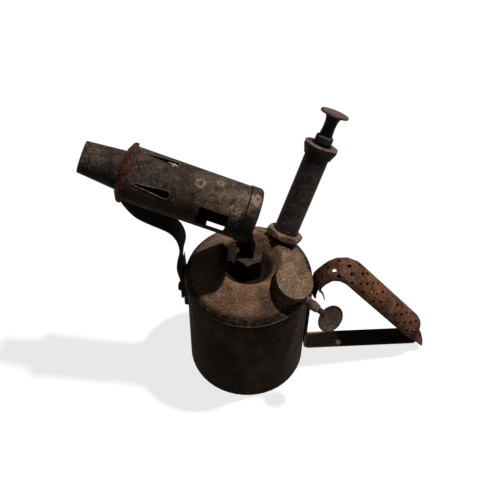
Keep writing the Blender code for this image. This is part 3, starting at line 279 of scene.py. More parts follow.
def spot_mask(tree, coords, scale, size, chance):
    """Small round spots, each in its own cell, with only some of the cells filled."""
    cells = add_node(tree, "ShaderNodeTexVoronoi", Vector=coords, Scale=scale)
    near = span(tree, cells.outputs["Distance"], size, size * 0.4)
    split = add_node(tree, "ShaderNodeSeparateColor", Color=cells.outputs["Color"])
    filled = math_node(tree, "GREATER_THAN", split.outputs[0], 1 - chance)
    return product(tree, near, filled)


def near_point(tree, coords, point, radius, soft):
    return span(tree, vector_node(tree, "DISTANCE", coords, tuple(point)), radius + soft, radius)


def coordinate(tree, coords, axis):
    split = add_node(tree, "ShaderNodeSeparateXYZ", Vector=coords)
    return split.outputs[axis]


def radial_distance(tree, coords):
    """Distance from the tank's axis."""
    return vector_node(tree, "LENGTH", vector_node(tree, "MULTIPLY", coords, (1, 1, 0)))


def station_along(tree, coords, start, axis):
    """Distance along an axis from its start."""
    place = vector_node(tree, "SUBTRACT", coords, tuple(start))
    return vector_node(tree, "DOT_PRODUCT", place, tuple(axis))


def distance_from(tree, coords, start, axis):
    """Distance from an axis."""
    place = vector_node(tree, "SUBTRACT", coords, tuple(start))
    return vector_node(tree, "LENGTH", vector_node(tree, "CROSS_PRODUCT", place, tuple(axis)))


def facing(tree, direction, low, high):
    """How far the surface faces a direction that stays with the object."""
    normal = add_node(tree, "ShaderNodeNewGeometry").outputs["Normal"]
    return span(tree, vector_node(tree, "DOT_PRODUCT", normal, tuple(direction)), low, high)


def stain(tree, coords, colour, point, radius, soft, tint, share, breakup=None):
    """A patch of another colour round a point, broken up by noise where a scale is given."""
    mask = near_point(tree, coords, point, radius, soft)
    if breakup:
        mask = product(tree, mask, noise_mask(tree, coords, (breakup, 4, 0.7), 0.44, 0.56))
    return tinted(tree, colour, mask, share, tint)


def stained(tree, coords, colour, rows):
    for row in rows:
        colour = stain(tree, coords, colour, *row)
    return colour


def ring_mark(tree, coords, colour, point, radius, width):
    """A pale ring left by a dried blister."""
    wobble = product(tree, noise_node(tree, coords, 520, 4, 0.8), radius * 2.2)
    rim = math_node(tree, "SUBTRACT", wobble, radius * 0.2)
    away = math_node(tree, "SUBTRACT", vector_node(tree, "DISTANCE", coords, point), rim)
    line = span(tree, math_node(tree, "ABSOLUTE", away), width, 0)
    return marked(tree, colour, line, "ring")


# What a finish has unless it says otherwise. A noise has a scale, detail, roughness and
# distortion, spots and pits a scale, size and chance, and "at" is where a mask begins and ends.
PLAIN_FINISH = {
    "at": (0.34, 0.5, 0.66), "grain": None, "broad": (34, 5, 0.6, 0.4),
    "patch": (135, 7, 0.66, 0.3), "grit": (780, 4, 0.7), "grit_at": (0.28, 0.72),
    "grit_shade": (0.45, 1.6), "tone_weights": (0.45, 0.55),
    "rust_noise": (60, 8, 0.7, 0.6), "rust_at": (0.5, 0.64), "rust_share": 0.4,
    "mark_noise": (230, 6, 0.72, 0.8), "mark_at": (0.57, 0.68), "mark_share": 0.2,
    "spots": (420, 0.36, 0.1), "spot_share": 0.6,
    "pits": (600, 0.34, 0.3), "pit_share": 0.6, "pit_dark": 0.3,
    "edge_radius": 0.0005, "edge_at": (0.985, 0.8), "wear": 0.8,
    "wear_noise": (420, 4, 0.7), "wear_at": (0.38, 0.6),
    "grime": 0.8, "grime_reach": 0.007, "grime_at": (0.75, 0.15), "grime_dark": 0.25,
    "rough_weights": (0.6, 0.4), "rough_at": (0.35, 0.65), "metallic": 0, "specular": 0.05,
    "relief_weights": (0.9, 0.7), "pit_depth": 0.6, "spot_height": 0.35,
    "bump": 0.6, "bump_depth": 0.0005}
NORMAL_SAMPLES = 4


def darker(colour, share):
    return tuple(channel * share for channel in colour)


def full_finish(name):
    return SimpleNamespace(**{**PLAIN_FINISH, **FINISHES[name]})


def aged_metal(name, finish_name, marks=None, blackening=None):
    """Metal in patches, with rust, spots, pits, worn edges, and corners and crevices darkened as
    painted shade.
    """
    finish = full_finish(finish_name)
    darkest = finish.colours[0]
    mat = bpy.data.materials.new(name)
    mat.use_nodes = True
    tree = mat.node_tree
    shader = tree.nodes["Principled BSDF"]
    coords = add_node(tree, "ShaderNodeTexCoord").outputs["Object"]
    grained = stretched(tree, coords, finish.grain) if finish.grain else coords
    broad = noise_node(tree, coords, *finish.broad)
    patch = noise_node(tree, grained, *finish.patch)
    grit = noise_node(tree, coords, *finish.grit)
    colour = ramp(tree, weighted(tree, broad, patch, finish.tone_weights), finish)
    rust = noise_mask(tree, coords, finish.rust_noise, *finish.rust_at)
    colour = tinted(tree, colour, rust, finish.rust_share, finish.rust)
    scale_marks = noise_mask(tree, coords, finish.mark_noise, *finish.mark_at)
    colour = tinted(tree, colour, scale_marks, finish.mark_share, finish.spot)
    if marks:
        colour = marks(tree, coords, colour)
    shade = span(tree, grit, *finish.grit_at, *finish.grit_shade)
    colour = add_node(tree, "ShaderNodeHueSaturation", Color=colour, Value=shade).outputs[0]
    spots = product(tree, spot_mask(tree, coords, *finish.spots), finish.spot_share)
    colour = mix_colour(tree, spots, colour, finish.spot)
    pits = spot_mask(tree, coords, *finish.pits)
    colour = tinted(tree, colour, pits, finish.pit_share, darker(darkest, finish.pit_dark))

    soft = add_node(tree, "ShaderNodeBevel", {"samples": NORMAL_SAMPLES},
                    Radius=finish.edge_radius).outputs[0]
    normal = add_node(tree, "ShaderNodeNewGeometry").outputs["Normal"]
    edge = span(tree, vector_node(tree, "DOT_PRODUCT", soft, normal), *finish.edge_at)
    edge = product(tree, edge, noise_mask(tree, coords, finish.wear_noise, *finish.wear_at))
    colour = tinted(tree, colour, edge, finish.wear, finish.edge)
    # Painted shade: the colour darkens towards the darkest tone where ambient occlusion finds
    # corners and crevices
    corner = add_node(tree, "ShaderNodeAmbientOcclusion", {"samples": NORMAL_SAMPLES},
                      Distance=finish.grime_reach).outputs["AO"]
    grime = span(tree, corner, *finish.grime_at, 0, finish.grime)
    colour = mix_colour(tree, grime, colour, darker(darkest, finish.grime_dark))

    shine = finish.specular
    put(tree, shader, "Specular IOR Level", shine)
    # Soot on the burner, and painted shade on the riser nut's flats, turn the colour black
    if blackening:
        black = blackening(tree, coords)
        colour = mix_colour(tree, black, colour, SOOT_AND_SHADE_COLOUR)
        put(tree, shader, "Specular IOR Level", span(tree, black, 0, 1, shine, 0))
    rough = weighted(tree, patch, grit, finish.rough_weights)
    height = weighted(tree, patch, grit, finish.relief_weights)
    height = math_node(tree, "SUBTRACT", height, product(tree, pits, finish.pit_depth))
    height = math_node(tree, "ADD", height, product(tree, spots, finish.spot_height))
    bump = add_node(tree, "ShaderNodeBump", Strength=finish.bump,
                    Distance=finish.bump_depth, Height=height, Normal=soft)
    put(tree, shader, "Base Color", colour)
    put(tree, shader, "Roughness", span(tree, rough, *finish.rough_at, *finish.rough))
    put(tree, shader, "Metallic", finish.metallic)
    put(tree, shader, "Normal", bump.outputs[0])
    return mat


# Colours from dark to light, rust, spots, worn edges, and what differs from PLAIN_FINISH
FINISHES = {
    "tank_top": {
        "colours": ((0.04, 0.022, 0.014), (0.148, 0.086, 0.055), (0.275, 0.176, 0.118)),
        "rust": (0.215, 0.085, 0.03), "rust_share": 0.5, "spot": (0.36, 0.22, 0.12),
        "spots": (640, 0.36, 0.22), "spot_share": 0.55, "pits": (600, 0.34, 0.45),
        "edge": (0.24, 0.15, 0.09), "wear": 0.35, "rough": (0.7, 0.95), "specular": 0.03,
        "bump": 1, "bump_depth": 0.0007},
    "tank_side": {
        "colours": ((0.01, 0.007, 0.006), (0.04, 0.027, 0.02), (0.105, 0.07, 0.049)),
        "rust": (0.075, 0.04, 0.024), "rust_share": 0.45, "spot": (0.2, 0.17, 0.14),
        "spots": (300, 0.36, 0.03), "spot_share": 0.7, "pits": (600, 0.34, 0.14),
        "mark_share": 0.1, "edge": (0.1, 0.07, 0.05), "wear": 0.4, "rough": (0.5, 0.75),
        "specular": 0.003, "bump": 0.5, "bump_depth": 0.0004, "grain": (1, 1, 0.35),
        "broad": (22, 5, 0.6, 0.4), "grit_shade": (0.6, 1.4)},
    "burner": {
        "colours": ((0.007, 0.005, 0.004), (0.029, 0.019, 0.014), (0.084, 0.058, 0.044)),
        "rust": (0.07, 0.038, 0.022), "rust_share": 0.45, "spot": (0.25, 0.2, 0.15),
        "spots": (480, 0.36, 0.1), "spot_share": 0.55, "mark_share": 0.34,
        "edge": (0.2, 0.16, 0.13), "wear": 0.7, "rough": (0.5, 0.8), "specular": 0.022,
        "bump": 0.7},
    # Nearly black: soot, darkened further as painted shade for the dark inside of the slots
    "slot_soot_and_shade": {
        "colours": ((0.0025, 0.002, 0.002), (0.006, 0.005, 0.004), (0.016, 0.012, 0.01)),
        "rust": (0.02, 0.012, 0.008), "rust_share": 0.3, "spot": (0.05, 0.04, 0.03),
        "spots": (420, 0.36, 0.05), "mark_share": 0.1, "edge": (0.05, 0.04, 0.03), "wear": 0.3,
        "rough": (0.6, 0.85), "specular": 0.01, "bump": 0.5},
    "lips": {
        "colours": ((0.03, 0.023, 0.019), (0.1, 0.078, 0.063), (0.22, 0.175, 0.14)),
        "rust": (0.07, 0.038, 0.022), "rust_share": 0.3, "spot": (0.25, 0.2, 0.15),
        "mark_share": 0.28, "edge": (0.3, 0.25, 0.2), "wear": 0.6, "grime": 0.2,
        "rough": (0.5, 0.8), "bump": 0.4},
    "rust": {
        "colours": ((0.009, 0.004, 0.003), (0.05, 0.019, 0.01), (0.14, 0.062, 0.034)),
        "at": (0.38, 0.5, 0.62), "rust": (0.15, 0.05, 0.014), "rust_share": 0.6,
        "spot": (0.26, 0.16, 0.1), "spots": (640, 0.36, 0.12), "spot_share": 0.4,
        "pits": (600, 0.34, 0.45), "mark_share": 0.12, "edge": (0.2, 0.1, 0.05), "wear": 0.4,
        "rough": (0.75, 0.95), "specular": 0.03, "bump": 1, "bump_depth": 0.0007},
    "grip": {
        "colours": ((0.02, 0.008, 0.005), (0.09, 0.038, 0.023), (0.206, 0.106, 0.07)),
        "rust": (0.175, 0.062, 0.02), "rust_share": 0.55, "spot": (0.3, 0.2, 0.14),
        "spots": (560, 0.36, 0.12), "spot_share": 0.4, "pits": (600, 0.34, 0.4),
        "mark_share": 0.22, "edge": (0.17, 0.085, 0.05), "wear": 0.45, "rough": (0.75, 0.95),
        "specular": 0.03, "bump": 0.95, "bump_depth": 0.0006},
    "dark_strap": {
        "colours": ((0.006, 0.005, 0.004), (0.02, 0.015, 0.012), (0.052, 0.038, 0.029)),
        "rust": (0.06, 0.025, 0.011), "rust_share": 0.45, "spot": (0.12, 0.09, 0.07),
        "spots": (520, 0.36, 0.06), "mark_share": 0.12, "edge": (0.12, 0.08, 0.056), "wear": 0.7,
        "grime": 0.35, "rough": (0.55, 0.85), "specular": 0.03, "bump": 0.7},
    "pump": {
        "colours": ((0.007, 0.005, 0.005), (0.02, 0.014, 0.012), (0.058, 0.044, 0.036)),
        "rust": (0.05, 0.028, 0.017), "rust_share": 0.35, "spot": (0.17, 0.145, 0.12),
        "spots": (360, 0.36, 0.07), "spot_share": 0.5, "edge": (0.2, 0.13, 0.08), "wear": 0.9,
        "rough": (0.42, 0.72), "specular": 0.045, "bump": 0.45},
    "pump_top": {
        "colours": ((0.014, 0.01, 0.008), (0.048, 0.034, 0.026), (0.11, 0.078, 0.058)),
        "rust": (0.08, 0.046, 0.03), "spot": (0.2, 0.15, 0.11), "spots": (460, 0.36, 0.08),
        "spot_share": 0.5, "edge": (0.26, 0.18, 0.12), "edge_radius": 0.0008, "wear": 1,
        "rough": (0.5, 0.8)},
    "nut": {
        "colours": ((0.034, 0.02, 0.014), (0.135, 0.082, 0.052), (0.29, 0.19, 0.122)),
        "at": (0.36, 0.5, 0.64), "rust": (0.06, 0.034, 0.021), "rust_share": 0.6,
        "spot": (0.24, 0.17, 0.12), "spots": (460, 0.36, 0.14), "mark_share": 0.22,
        "edge": (0.5, 0.35, 0.24), "edge_radius": 0.0008, "wear": 1, "rough": (0.5, 0.8)},
    "riser": {
        "colours": ((0.01, 0.007, 0.005), (0.03, 0.02, 0.014), (0.075, 0.053, 0.038)),
        "rust": (0.07, 0.036, 0.018), "spot": (0.2, 0.14, 0.1), "spots": (460, 0.36, 0.1),
        "edge": (0.2, 0.13, 0.085), "rough": (0.55, 0.85), "bump": 0.8},
    "thumb": {
        "colours": ((0.022, 0.013, 0.009), (0.048, 0.03, 0.022), (0.115, 0.08, 0.06)),
        "rust": (0.08, 0.042, 0.024), "spot": (0.22, 0.16, 0.12), "spots": (560, 0.36, 0.14),
        "pits": (600, 0.34, 0.4), "mark_share": 0.25, "edge": (0.24, 0.17, 0.12), "wear": 0.9,
        "rough": (0.6, 0.85), "bump": 1, "bump_depth": 0.0006},
    "cap": {
        "colours": ((0.05, 0.03, 0.019), (0.144, 0.091, 0.057), (0.261, 0.174, 0.113)),
        "rust": (0.23, 0.105, 0.04), "rust_share": 0.5, "spot": (0.44, 0.36, 0.27),
        "spots": (560, 0.36, 0.15), "spot_share": 0.55, "mark_share": 0.35,
        "edge": (0.42, 0.34, 0.25), "rough": (0.7, 0.92), "bump": 1, "bump_depth": 0.0006},
    # Pale, as a painted highlight along the skirt's rolled edge
    "skirt_edge_highlight": {
        "colours": ((0.03, 0.023, 0.018), (0.085, 0.068, 0.055), (0.17, 0.138, 0.112)),
        "rust": (0.12, 0.075, 0.05), "spot": (0.3, 0.25, 0.2), "edge": (0.3, 0.25, 0.2),
        "wear": 0.3, "grime": 0.0, "rough": (0.55, 0.8), "bump": 0.3},
    "dirt": {
        "colours": ((0.12, 0.09, 0.065), (0.27, 0.215, 0.16), (0.45, 0.38, 0.3)),
        "rust": (0.23, 0.13, 0.07), "rust_share": 0.3, "spot": (0.55, 0.48, 0.4),
        "spots": (420, 0.36, 0.2), "mark_share": 0.3, "edge": (0.45, 0.38, 0.3), "wear": 0.3,
        "grime": 0.3, "rough": (0.8, 0.95), "specular": 0.02, "bump": 0.8},
    "brass": {
        "colours": ((0.06, 0.036, 0.02), (0.16, 0.1, 0.055), (0.29, 0.195, 0.112)),
        "rust": (0.1, 0.052, 0.024), "spot": (0.26, 0.19, 0.11), "spots": (620, 0.36, 0.08),
        "mark_share": 0.22, "edge": (0.4, 0.29, 0.17), "grime": 0.4, "rough": (0.45, 0.72),
        "metallic": 0.15, "bump": 0.5},
    "leather": {
        "colours": ((0.02, 0.01, 0.005), (0.06, 0.032, 0.017), (0.1, 0.055, 0.03)),
        "rust": (0.05, 0.025, 0.013), "spot": (0.1, 0.06, 0.035), "mark_share": 0.35,
        "edge": (0.13, 0.08, 0.045), "wear": 0.4, "rough": (0.65, 0.9), "bump": 0.7}}

# Each mark's share and colour
TINTS = {
    "dish": (0.93, (0.007, 0.006, 0.005)), "shoulder": (1, (0.01, 0.007, 0.005)),
    "sheen_line": (0.6, (0.14, 0.11, 0.088)), "below_seam": (0.55, (0.012, 0.008, 0.006)),
    "splash": (1, (0.2, 0.16, 0.13)), "tan": (0.6, (0.15, 0.098, 0.066)),
    "underside": (0.8, (0.0085, 0.0065, 0.0055)), "ring": (0.75, (0.21, 0.155, 0.11)),
    "front": (0.35, (0.02, 0.016, 0.014)), "seam": (0.85, (0.006, 0.005, 0.004)),
    "cap_flank_shade": (0.88, (0.022, 0.014, 0.01)), "cap_specks": (1, (0.5, 0.44, 0.36)),
    "scrape": (0.5, (0.15, 0.12, 0.095)), "pump_flank_shade": (0.85, (0.0075, 0.0065, 0.0065)),
    "worn_disc": (1, (0.088, 0.056, 0.04)), "neck": (0.9, (0.008, 0.0075, 0.0075))}
SOOT_AND_SHADE_COLOUR = (0.003, 0.0026, 0.0024)

# Where each mask begins and ends, in metres or in how squarely a face is turned, and how softly
EDGES = {
    "dish_rim": (0.0262, 0.0225), "dish_floor": (0.1225, 0.1175), "dish_shadowed_left": (0.006, -0.008),
    "shoulder": (0.116, 0.1125), "sheen_line": (0.0488, 0.0499), "sheen_height": (0.03, 0.08),
    "below_seam": (0.099, 0.106), "foot": (0.03, 0.004), "back": (0.55, 0.95),
    "rear": (0.06, 0.03), "underside": (-0.4, 0.35), "front": (0.0965, 0.101),
    "seam": (0.0056, 0.0064, 0.0005), "inside": (0.007, COLLAR_STATION - 0.001, 0.0004),
    "stem": (0.178, 0.164), "nut_flank_shade": (0.75, 0.35), "collar": (0.0242, 0.0025),
    "cap_flank_shade": (0.75, 0.35), "cap_rim": (0.006, 0.008), "pump_flank_shade": (0.6, 0.2),
    "disc": (PUMP_DISC_FOOT - 0.0004, PUMP_DISC_FOOT + 0.0004),
    "neck": (PUMP_COLLAR_TOP, PUMP_DISC_FOOT - 0.0006, 0.0004)}

# Noise masks: the noise, where the mask begins and ends, and its least and most
RAGGED = {
    "shoulder": ((260, 4, 0.7), 0.36, 0.58, 0.6, 0.97), "sheen_line": ((300, 4, 0.6), 0.38, 0.6),
    "tan": ((90, 5, 0.7), 0.4, 0.6), "scrape": ((330, 3, 0.6), 0.66, 0.7),
    "worn_disc": ((260, 5, 0.7), 0.35, 0.6, 0.35, 1)}
COLLAR_NOISE = (340, 8, 0.75, 0.3)

# Spots: scale, size and chance
SPLASHES = (230, 0.3, 0.16)
CAP_SPECKS = (520, 0.34, 0.3)

# Stains and patches, a few brightened as painted highlight and painted sunlight: place, radius,
# soft edge, colour, share and the scale of the noise that breaks it up
TOP_STAINS = (
    ((0.004, -0.044, 0.115), 0.016, 0.012, (0.215, 0.09, 0.032), 0.45, 330),
    ((0.012, 0.021, 0.126), 0.008, 0.01, (0.06, 0.032, 0.018), 0.75, 150),
    *((place, 0.004, 0.006, (0.04, 0.025, 0.017), 0.6) for place in (
        (0.0125, -0.0385, 0.119), (0.012, -0.043, 0.116), (0.01, -0.033, 0.123))))
SIDE_STAINS = (((0.006, -0.0495, 0.05), 0.012, 0.022, (0.1, 0.062, 0.04), 0.5, 70),)
WINDOW_STAINS = (
    ((-0.01, -0.0175, 0.187), 0.008, 0.008, (0.008, 0.007, 0.006), 0.85),
    ((-0.001, -0.02, 0.185), 0.007, 0.009, (0.008, 0.007, 0.007), 0.75))
CASING_PATCHES_AND_HIGHLIGHT = (
    ((-0.012, -0.0125, 0.1975), 0.003, 0.005, (0.23, 0.17, 0.12), 0.65, 420),
    # A pale tan patch on the top of the rear: tan scale and a painted highlight
    ((0.0027, -0.0046, 0.1998), 0.003, 0.005, (0.3, 0.23, 0.165), 0.65, 300),
    ((-0.112, 0.02, 0.2255), 0.006, 0.008, (0.15, 0.11, 0.078), 0.65, 480),
    ((-0.07, 0.006, 0.218), 0.014, 0.014, (0.085, 0.066, 0.054), 0.35, 160))
HANDLE_PATCHES_AND_LIGHT = (
    # Rust on the arm by the tank, brightened into a painted pool of sunlight; then a dark stain
    # further out
    ((0.062, -0.002, 0.0098), 0.017, 0.008, (0.52, 0.31, 0.205), 0.97),
    ((0.14, 0, 0.01), 0.012, 0.014, (0.06, 0.036, 0.024), 0.7, 210))
GRIP_STAINS = (
    ((0.056, 0, 0.088), 0.01, 0.012, (0.022, 0.01, 0.007), 0.85),
    ((0.104, -0.008, 0.091), 0.011, 0.014, (0.25, 0.095, 0.036), 0.65, 300),
    ((0.12, -0.01, 0.062), 0.01, 0.012, (0.04, 0.018, 0.012), 0.6, 170))
BLISTERS = (((-0.0355, 0.0033, 0.2108), 0.003, 0.002),
            ((-0.0212, 0.0062, 0.2072), 0.0022, 0.0018))
# The side where the painted sheen runs
SHEEN_SIDE = (0.755, -0.656, 0)
BURNER_BACK = (0.1, -0.3, 0.95)
CAP_SPECK_PLACE = (0.021, -0.03, 0.14)


# Marks that belong to one place
def top_marks(tree, coords, colour):
    """Soot and painted shadow in the dish, dark brown patches beside the burner and the filler, and
    a dark shoulder.
    """
    height = coordinate(tree, coords, 2)
    # The dish's floor, and its left side where the burner's shadow falls, are darkened: soot with
    # painted shadow
    shaded = math_node(tree, "MAXIMUM", span(tree, height, *EDGES["dish_floor"]),
                       span(tree, coordinate(tree, coords, 0), *EDGES["dish_shadowed_left"]))
    dish = product(tree, span(tree, radial_distance(tree, coords), *EDGES["dish_rim"]), shaded)
    colour = marked(tree, colour, dish, "dish")
    colour = stained(tree, coords, colour, TOP_STAINS)
    shoulder = span(tree, height, *EDGES["shoulder"])
    shoulder = product(tree, shoulder, noise_mask(tree, coords, *RAGGED["shoulder"]))
    return marked(tree, colour, shoulder, "shoulder")


def side_marks(tree, coords, colour):
    """A painted sheen along the right edge, a dark band below the seam and dust splashes near the
    foot.
    """
    height = coordinate(tree, coords, 2)
    # A pale vertical line on the right edge: painted sheen
    right = vector_node(tree, "DOT_PRODUCT", coords, SHEEN_SIDE)
    sheen_line = product(tree, span(tree, right, *EDGES["sheen_line"]),
                     span(tree, height, *EDGES["sheen_height"]))
    runs = stretched(tree, coords, (1, 1, 0.15))
    sheen_line = product(tree, sheen_line, noise_mask(tree, runs, *RAGGED["sheen_line"]))
    colour = marked(tree, colour, sheen_line, "sheen_line")
    colour = marked(tree, colour, span(tree, height, *EDGES["below_seam"]), "below_seam")
    colour = stained(tree, coords, colour, SIDE_STAINS)
    splash = product(tree, spot_mask(tree, coords, *SPLASHES), span(tree, height, *EDGES["foot"]))
    return marked(tree, colour, splash, "splash")


def burner_marks(tree, coords, colour):
    """A tan back partly painted as highlight, a black underside of soot and painted shade,
    blisters, pale scale, a dark front and the rear seam.
    """
    station = station_along(tree, coords, BURNER_FOOT, burner_axes()[0])
    # Tan scale on the upward rear, brightened as a painted highlight
    tan = product(tree, facing(tree, BURNER_BACK, *EDGES["back"]),
                  noise_mask(tree, coords, *RAGGED["tan"]))
    colour = marked(tree, colour, product(tree, tan, span(tree, station, *EDGES["rear"])), "tan")
    # The downward faces are blackened: soot and painted shade
    colour = marked(tree, colour, facing(tree, -UP, *EDGES["underside"]), "underside")
    colour = stained(tree, coords, colour, WINDOW_STAINS)
    for blister in BLISTERS:
        colour = ring_mark(tree, coords, colour, *blister)
    colour = stained(tree, coords, colour, CASING_PATCHES_AND_HIGHLIGHT)
    colour = marked(tree, colour, span(tree, station, *EDGES["front"]), "front")
    return marked(tree, colour, band(tree, station, *EDGES["seam"]), "seam")


def burner_soot(tree, coords):
    """The inside of the casing and the stem's head are black."""
    along = burner_axes()[0]
    out = distance_from(tree, coords, BURNER_FOOT, along)
    station = station_along(tree, coords, BURNER_FOOT, along)
    inside = product(tree, math_node(tree, "LESS_THAN", out, CASING_RADIUS - 0.0007),
                     band(tree, station, *EDGES["inside"]))
    stem = span(tree, coordinate(tree, coords, 2), *EDGES["stem"])
    return product(tree, math_node(tree, "MAXIMUM", inside, stem), 0.97)


def riser_flank_shade(tree, coords):
    """Painted shade, with soot, on the nut's flats: they are black, its top less so."""
    return product(tree, facing(tree, UP, *EDGES["nut_flank_shade"]), 0.75)


def strap_marks(tree, coords, colour):
    """The collar is rusted red-brown, and the tail below it stays nearly black."""
    rusty = ramp(tree, noise_node(tree, coords, *COLLAR_NOISE), full_finish("rust"))
    collar = near_point(tree, coords, burner_place(COLLAR_STATION, 0, 0), *EDGES["collar"])
    return mix_colour(tree, collar, colour, rusty)


def cap_marks(tree, coords, colour):
    """The cap's side is darkened as painted shade, and specks of pale dirt lie at its rim."""
    # Painted shade on the faces turned away from the cap's axis
    side = facing(tree, Vector(joints["cap_turn"]["axis"]), *EDGES["cap_flank_shade"])
    colour = marked(tree, colour, side, "cap_flank_shade")
    rim = near_point(tree, coords, CAP_SPECK_PLACE, *EDGES["cap_rim"])
    specks = product(tree, spot_mask(tree, coords, *CAP_SPECKS), rim)
    return marked(tree, colour, specks, "cap_specks")


def pump_marks(tree, coords, colour):
    """A painted shadow below the cap and a worn, paler barrel with a few scrapes."""
    below_cap = pump_place(PUMP_CAP_FOOT - 0.001)
    # First a painted shadow just under the cap, then a paler worn patch
    rows = ((below_cap, 0.01, 0.008, (0.009, 0.008, 0.008), 0.85),
            (pump_place(0.034), 0.012, 0.016, (0.062, 0.048, 0.04), 0.5, 170))
    colour = stained(tree, coords, colour, rows)
    runs = stretched(tree, coords, (1, 1, 0.4))
    return marked(tree, colour, noise_mask(tree, runs, *RAGGED["scrape"]), "scrape")


def pump_top_marks(tree, coords, colour):
    """The cap's rim and the knob's disc are worn brown; the sides, and the neck under the disc, are
    black with painted shade.
    """
    axis = joint_axis("pump_stroke")
    station = station_along(tree, coords, pump_place(0), axis)
    # Painted shade on the sides
    colour = marked(tree, colour, facing(tree, axis, *EDGES["pump_flank_shade"]), "pump_flank_shade")
    disc = product(tree, span(tree, station, *EDGES["disc"]),
                   noise_mask(tree, coords, *RAGGED["worn_disc"]))
    colour = marked(tree, colour, disc, "worn_disc")
    # Painted shade on the neck under the disc
    return marked(tree, colour, band(tree, station, *EDGES["neck"]), "neck")


def tongue_marks(tree, coords, colour):
    """A painted highlight on the upper tongue's tip, where light shows through the slot, and a
    brown mark on the lower.
    """
    upper = burner_place(SLOT_REAR + 0.004, CASING_RADIUS - 0.002, SLOT_TURNS[0])
    lower = burner_place(SLOT_REAR + 0.0035, CASING_RADIUS - 0.004, SLOT_TURNS[4])
    # The first row is a painted highlight
    rows = ((upper, 0.0007, 0.001, (0.6, 0.52, 0.46), 0.9),
            (lower, 0.0016, 0.002, (0.3, 0.22, 0.16), 0.8))
    return stained(tree, coords, colour, rows)


SOOT_AND_SHADE = {"burner": burner_soot, "riser": riser_flank_shade}
MARKS = {"tank_top": top_marks, "tank_side": side_marks, "burner": burner_marks,
         "strap": strap_marks, "handle": partial(stained, rows=HANDLE_PATCHES_AND_LIGHT),
         "grip": partial(stained, rows=GRIP_STAINS), "cap": cap_marks, "pump": pump_marks,
         "pump_top": pump_top_marks}

# Each dressing: its finish and its nodes. Marks, and soot and painted shade, go by the dressing's
# name.
DRESS = {
    "tank_top": ("tank_top", ("tank_top",)),
    "tank_side": ("tank_side", ("tank_wall", "tank_base")),
    "burner": ("burner", ("vaporiser_body", "vapour_loop", "burner_casing", "flame_tube",
                          "front_plate")),
    "strap": ("dark_strap", ("support_strap",)),
    "bracket": ("dark_strap", ("strap_lug", "strap_bolt")),
    "handle": ("dark_strap", ("handle_strap",)),
    "rivets": ("rust", ("handle_rivet_top", "handle_rivet_bottom")),
    "grip": ("grip", ("handle_grip",)),
    "pump": ("pump", ("pump_boss", "pump_barrel", "pump_rod", "piston_plate")),
    "pump_top": ("pump_top", ("pump_cap", "pump_knob")),
    "neck": ("nut", ("filler_neck",)),
    "nut": ("nut", ("pump_nut",)),
    "riser": ("riser", ("riser_nut",)),
    "thumb": ("thumb", ("air_screw",)),
    "cap": ("cap", ("filler_cap",)),
    "brass": ("brass", ("pickup_tube", "stem_plug", "jet_nipple", "piston_nut", "valve_body",
                        "valve_keeper", "air_screw_gland")),
    "leather": ("leather", ("piston_leather", "valve_disc", "cap_washer"))}


# Places along the burner, the pump, the filler and the air screw
def burner_axes():
    along = spherical(BURNER_AZIMUTH, BURNER_RISE)
    up = (UP - along * along.z).normalized()
    return along, up, along.cross(up)


def burner_place(station, radius, turn):
    along, up, across = burner_axes()
    return BURNER_FOOT + along * station + (up * cos(turn) - across * sin(turn)) * radius


def joint_axis(name):
    return Vector(joints[name]["axis"]).normalized()


def pump_place(distance):
    """A point along the pump's axis, from where that axis meets the dome."""
    start = spherical(PUMP_AZIMUTH, 0) * PUMP_OUT + Vector((0, 0, PUMP_FOOT_HEIGHT))
    return start + joint_axis("pump_stroke") * distance


def circle_point(centre, axis, radius, turn):
    first = axis.orthogonal().normalized()
    return centre + (first * cos(turn) + axis.cross(first) * sin(turn)) * radius


def ring_points(centre, axis, radius, count):
    return [circle_point(centre, axis, radius, tau * i / count) for i in range(count)]


def seated_ring(node, centre, axis, radius, count):
    """Where a pipe of a radius round an axis comes out of a node's outer face."""
    mesh = nodes[node].data
    tree = BVHTree.FromPolygons([vert.co for vert in mesh.vertices],
                                [tuple(face.vertices) for face in mesh.polygons])
    starts = ring_points(centre + axis * RAY_START, axis, radius, count)
    hits = [tree.ray_cast(start, -axis)[0] for start in starts]
    return [hit for hit in hits if hit]


# Pieces
def bridge(bm, rings, closed=False):
    """A skin over rings of points, capped at both ends unless it closes on itself."""
    sides = len(rings[0])
    for low, high in zip(rings, rings[1:] + rings[:1] if closed else rings[1:]):
        for k in range(sides):
            after = (k + 1) % sides
            bm.faces.new((low[k], low[after], high[after], high[k]))
    if not closed:
        bm.faces.new(rings[0][::-1])
        bm.faces.new(rings[-1])


def add_tube(bm, points, radius, normal, sides=8, closed=True, seed=1, wobble=0):
    """A round bead along points, its section turned by one fixed normal."""
    rng = random.Random(seed)
    rings = []
    count = len(points)
    for i, point in enumerate(points):
        after = points[(i + 1) % count] if closed or i + 1 < count else point
        before = points[i - 1] if closed or i > 0 else point
        step = (after - before).normalized()
        side = step.cross(normal).normalized()
        up = side.cross(step)
        size = radius * (1 + wobble * rng.uniform(-1, 1))
        turns = [tau * k / sides for k in range(sides)]
        rings.append([bm.verts.new(point + (side * cos(turn) + up * sin(turn)) * size)
                      for turn in turns])
    bridge(bm, rings, closed)


def add_piece(name, bm, body, mat):
    bmesh.ops.recalc_face_normals(bm, faces=bm.faces)
    mesh = bpy.data.meshes.new(name)
    bm.to_mesh(mesh)
    bm.free()
    mesh.shade_smooth()
    mesh.materials.append(mat)
    obj = bpy.data.objects.new(name, mesh)
    bpy.context.collection.objects.link(obj)
    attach(obj, body)


def tube_piece(name, mat, points, radius, normal, **section):
    """One bead as a piece of its own on the lamp."""
    bm = bmesh.new()
    add_tube(bm, points, radius, normal, **section)
    add_piece(name, bm, "lamp", mat)


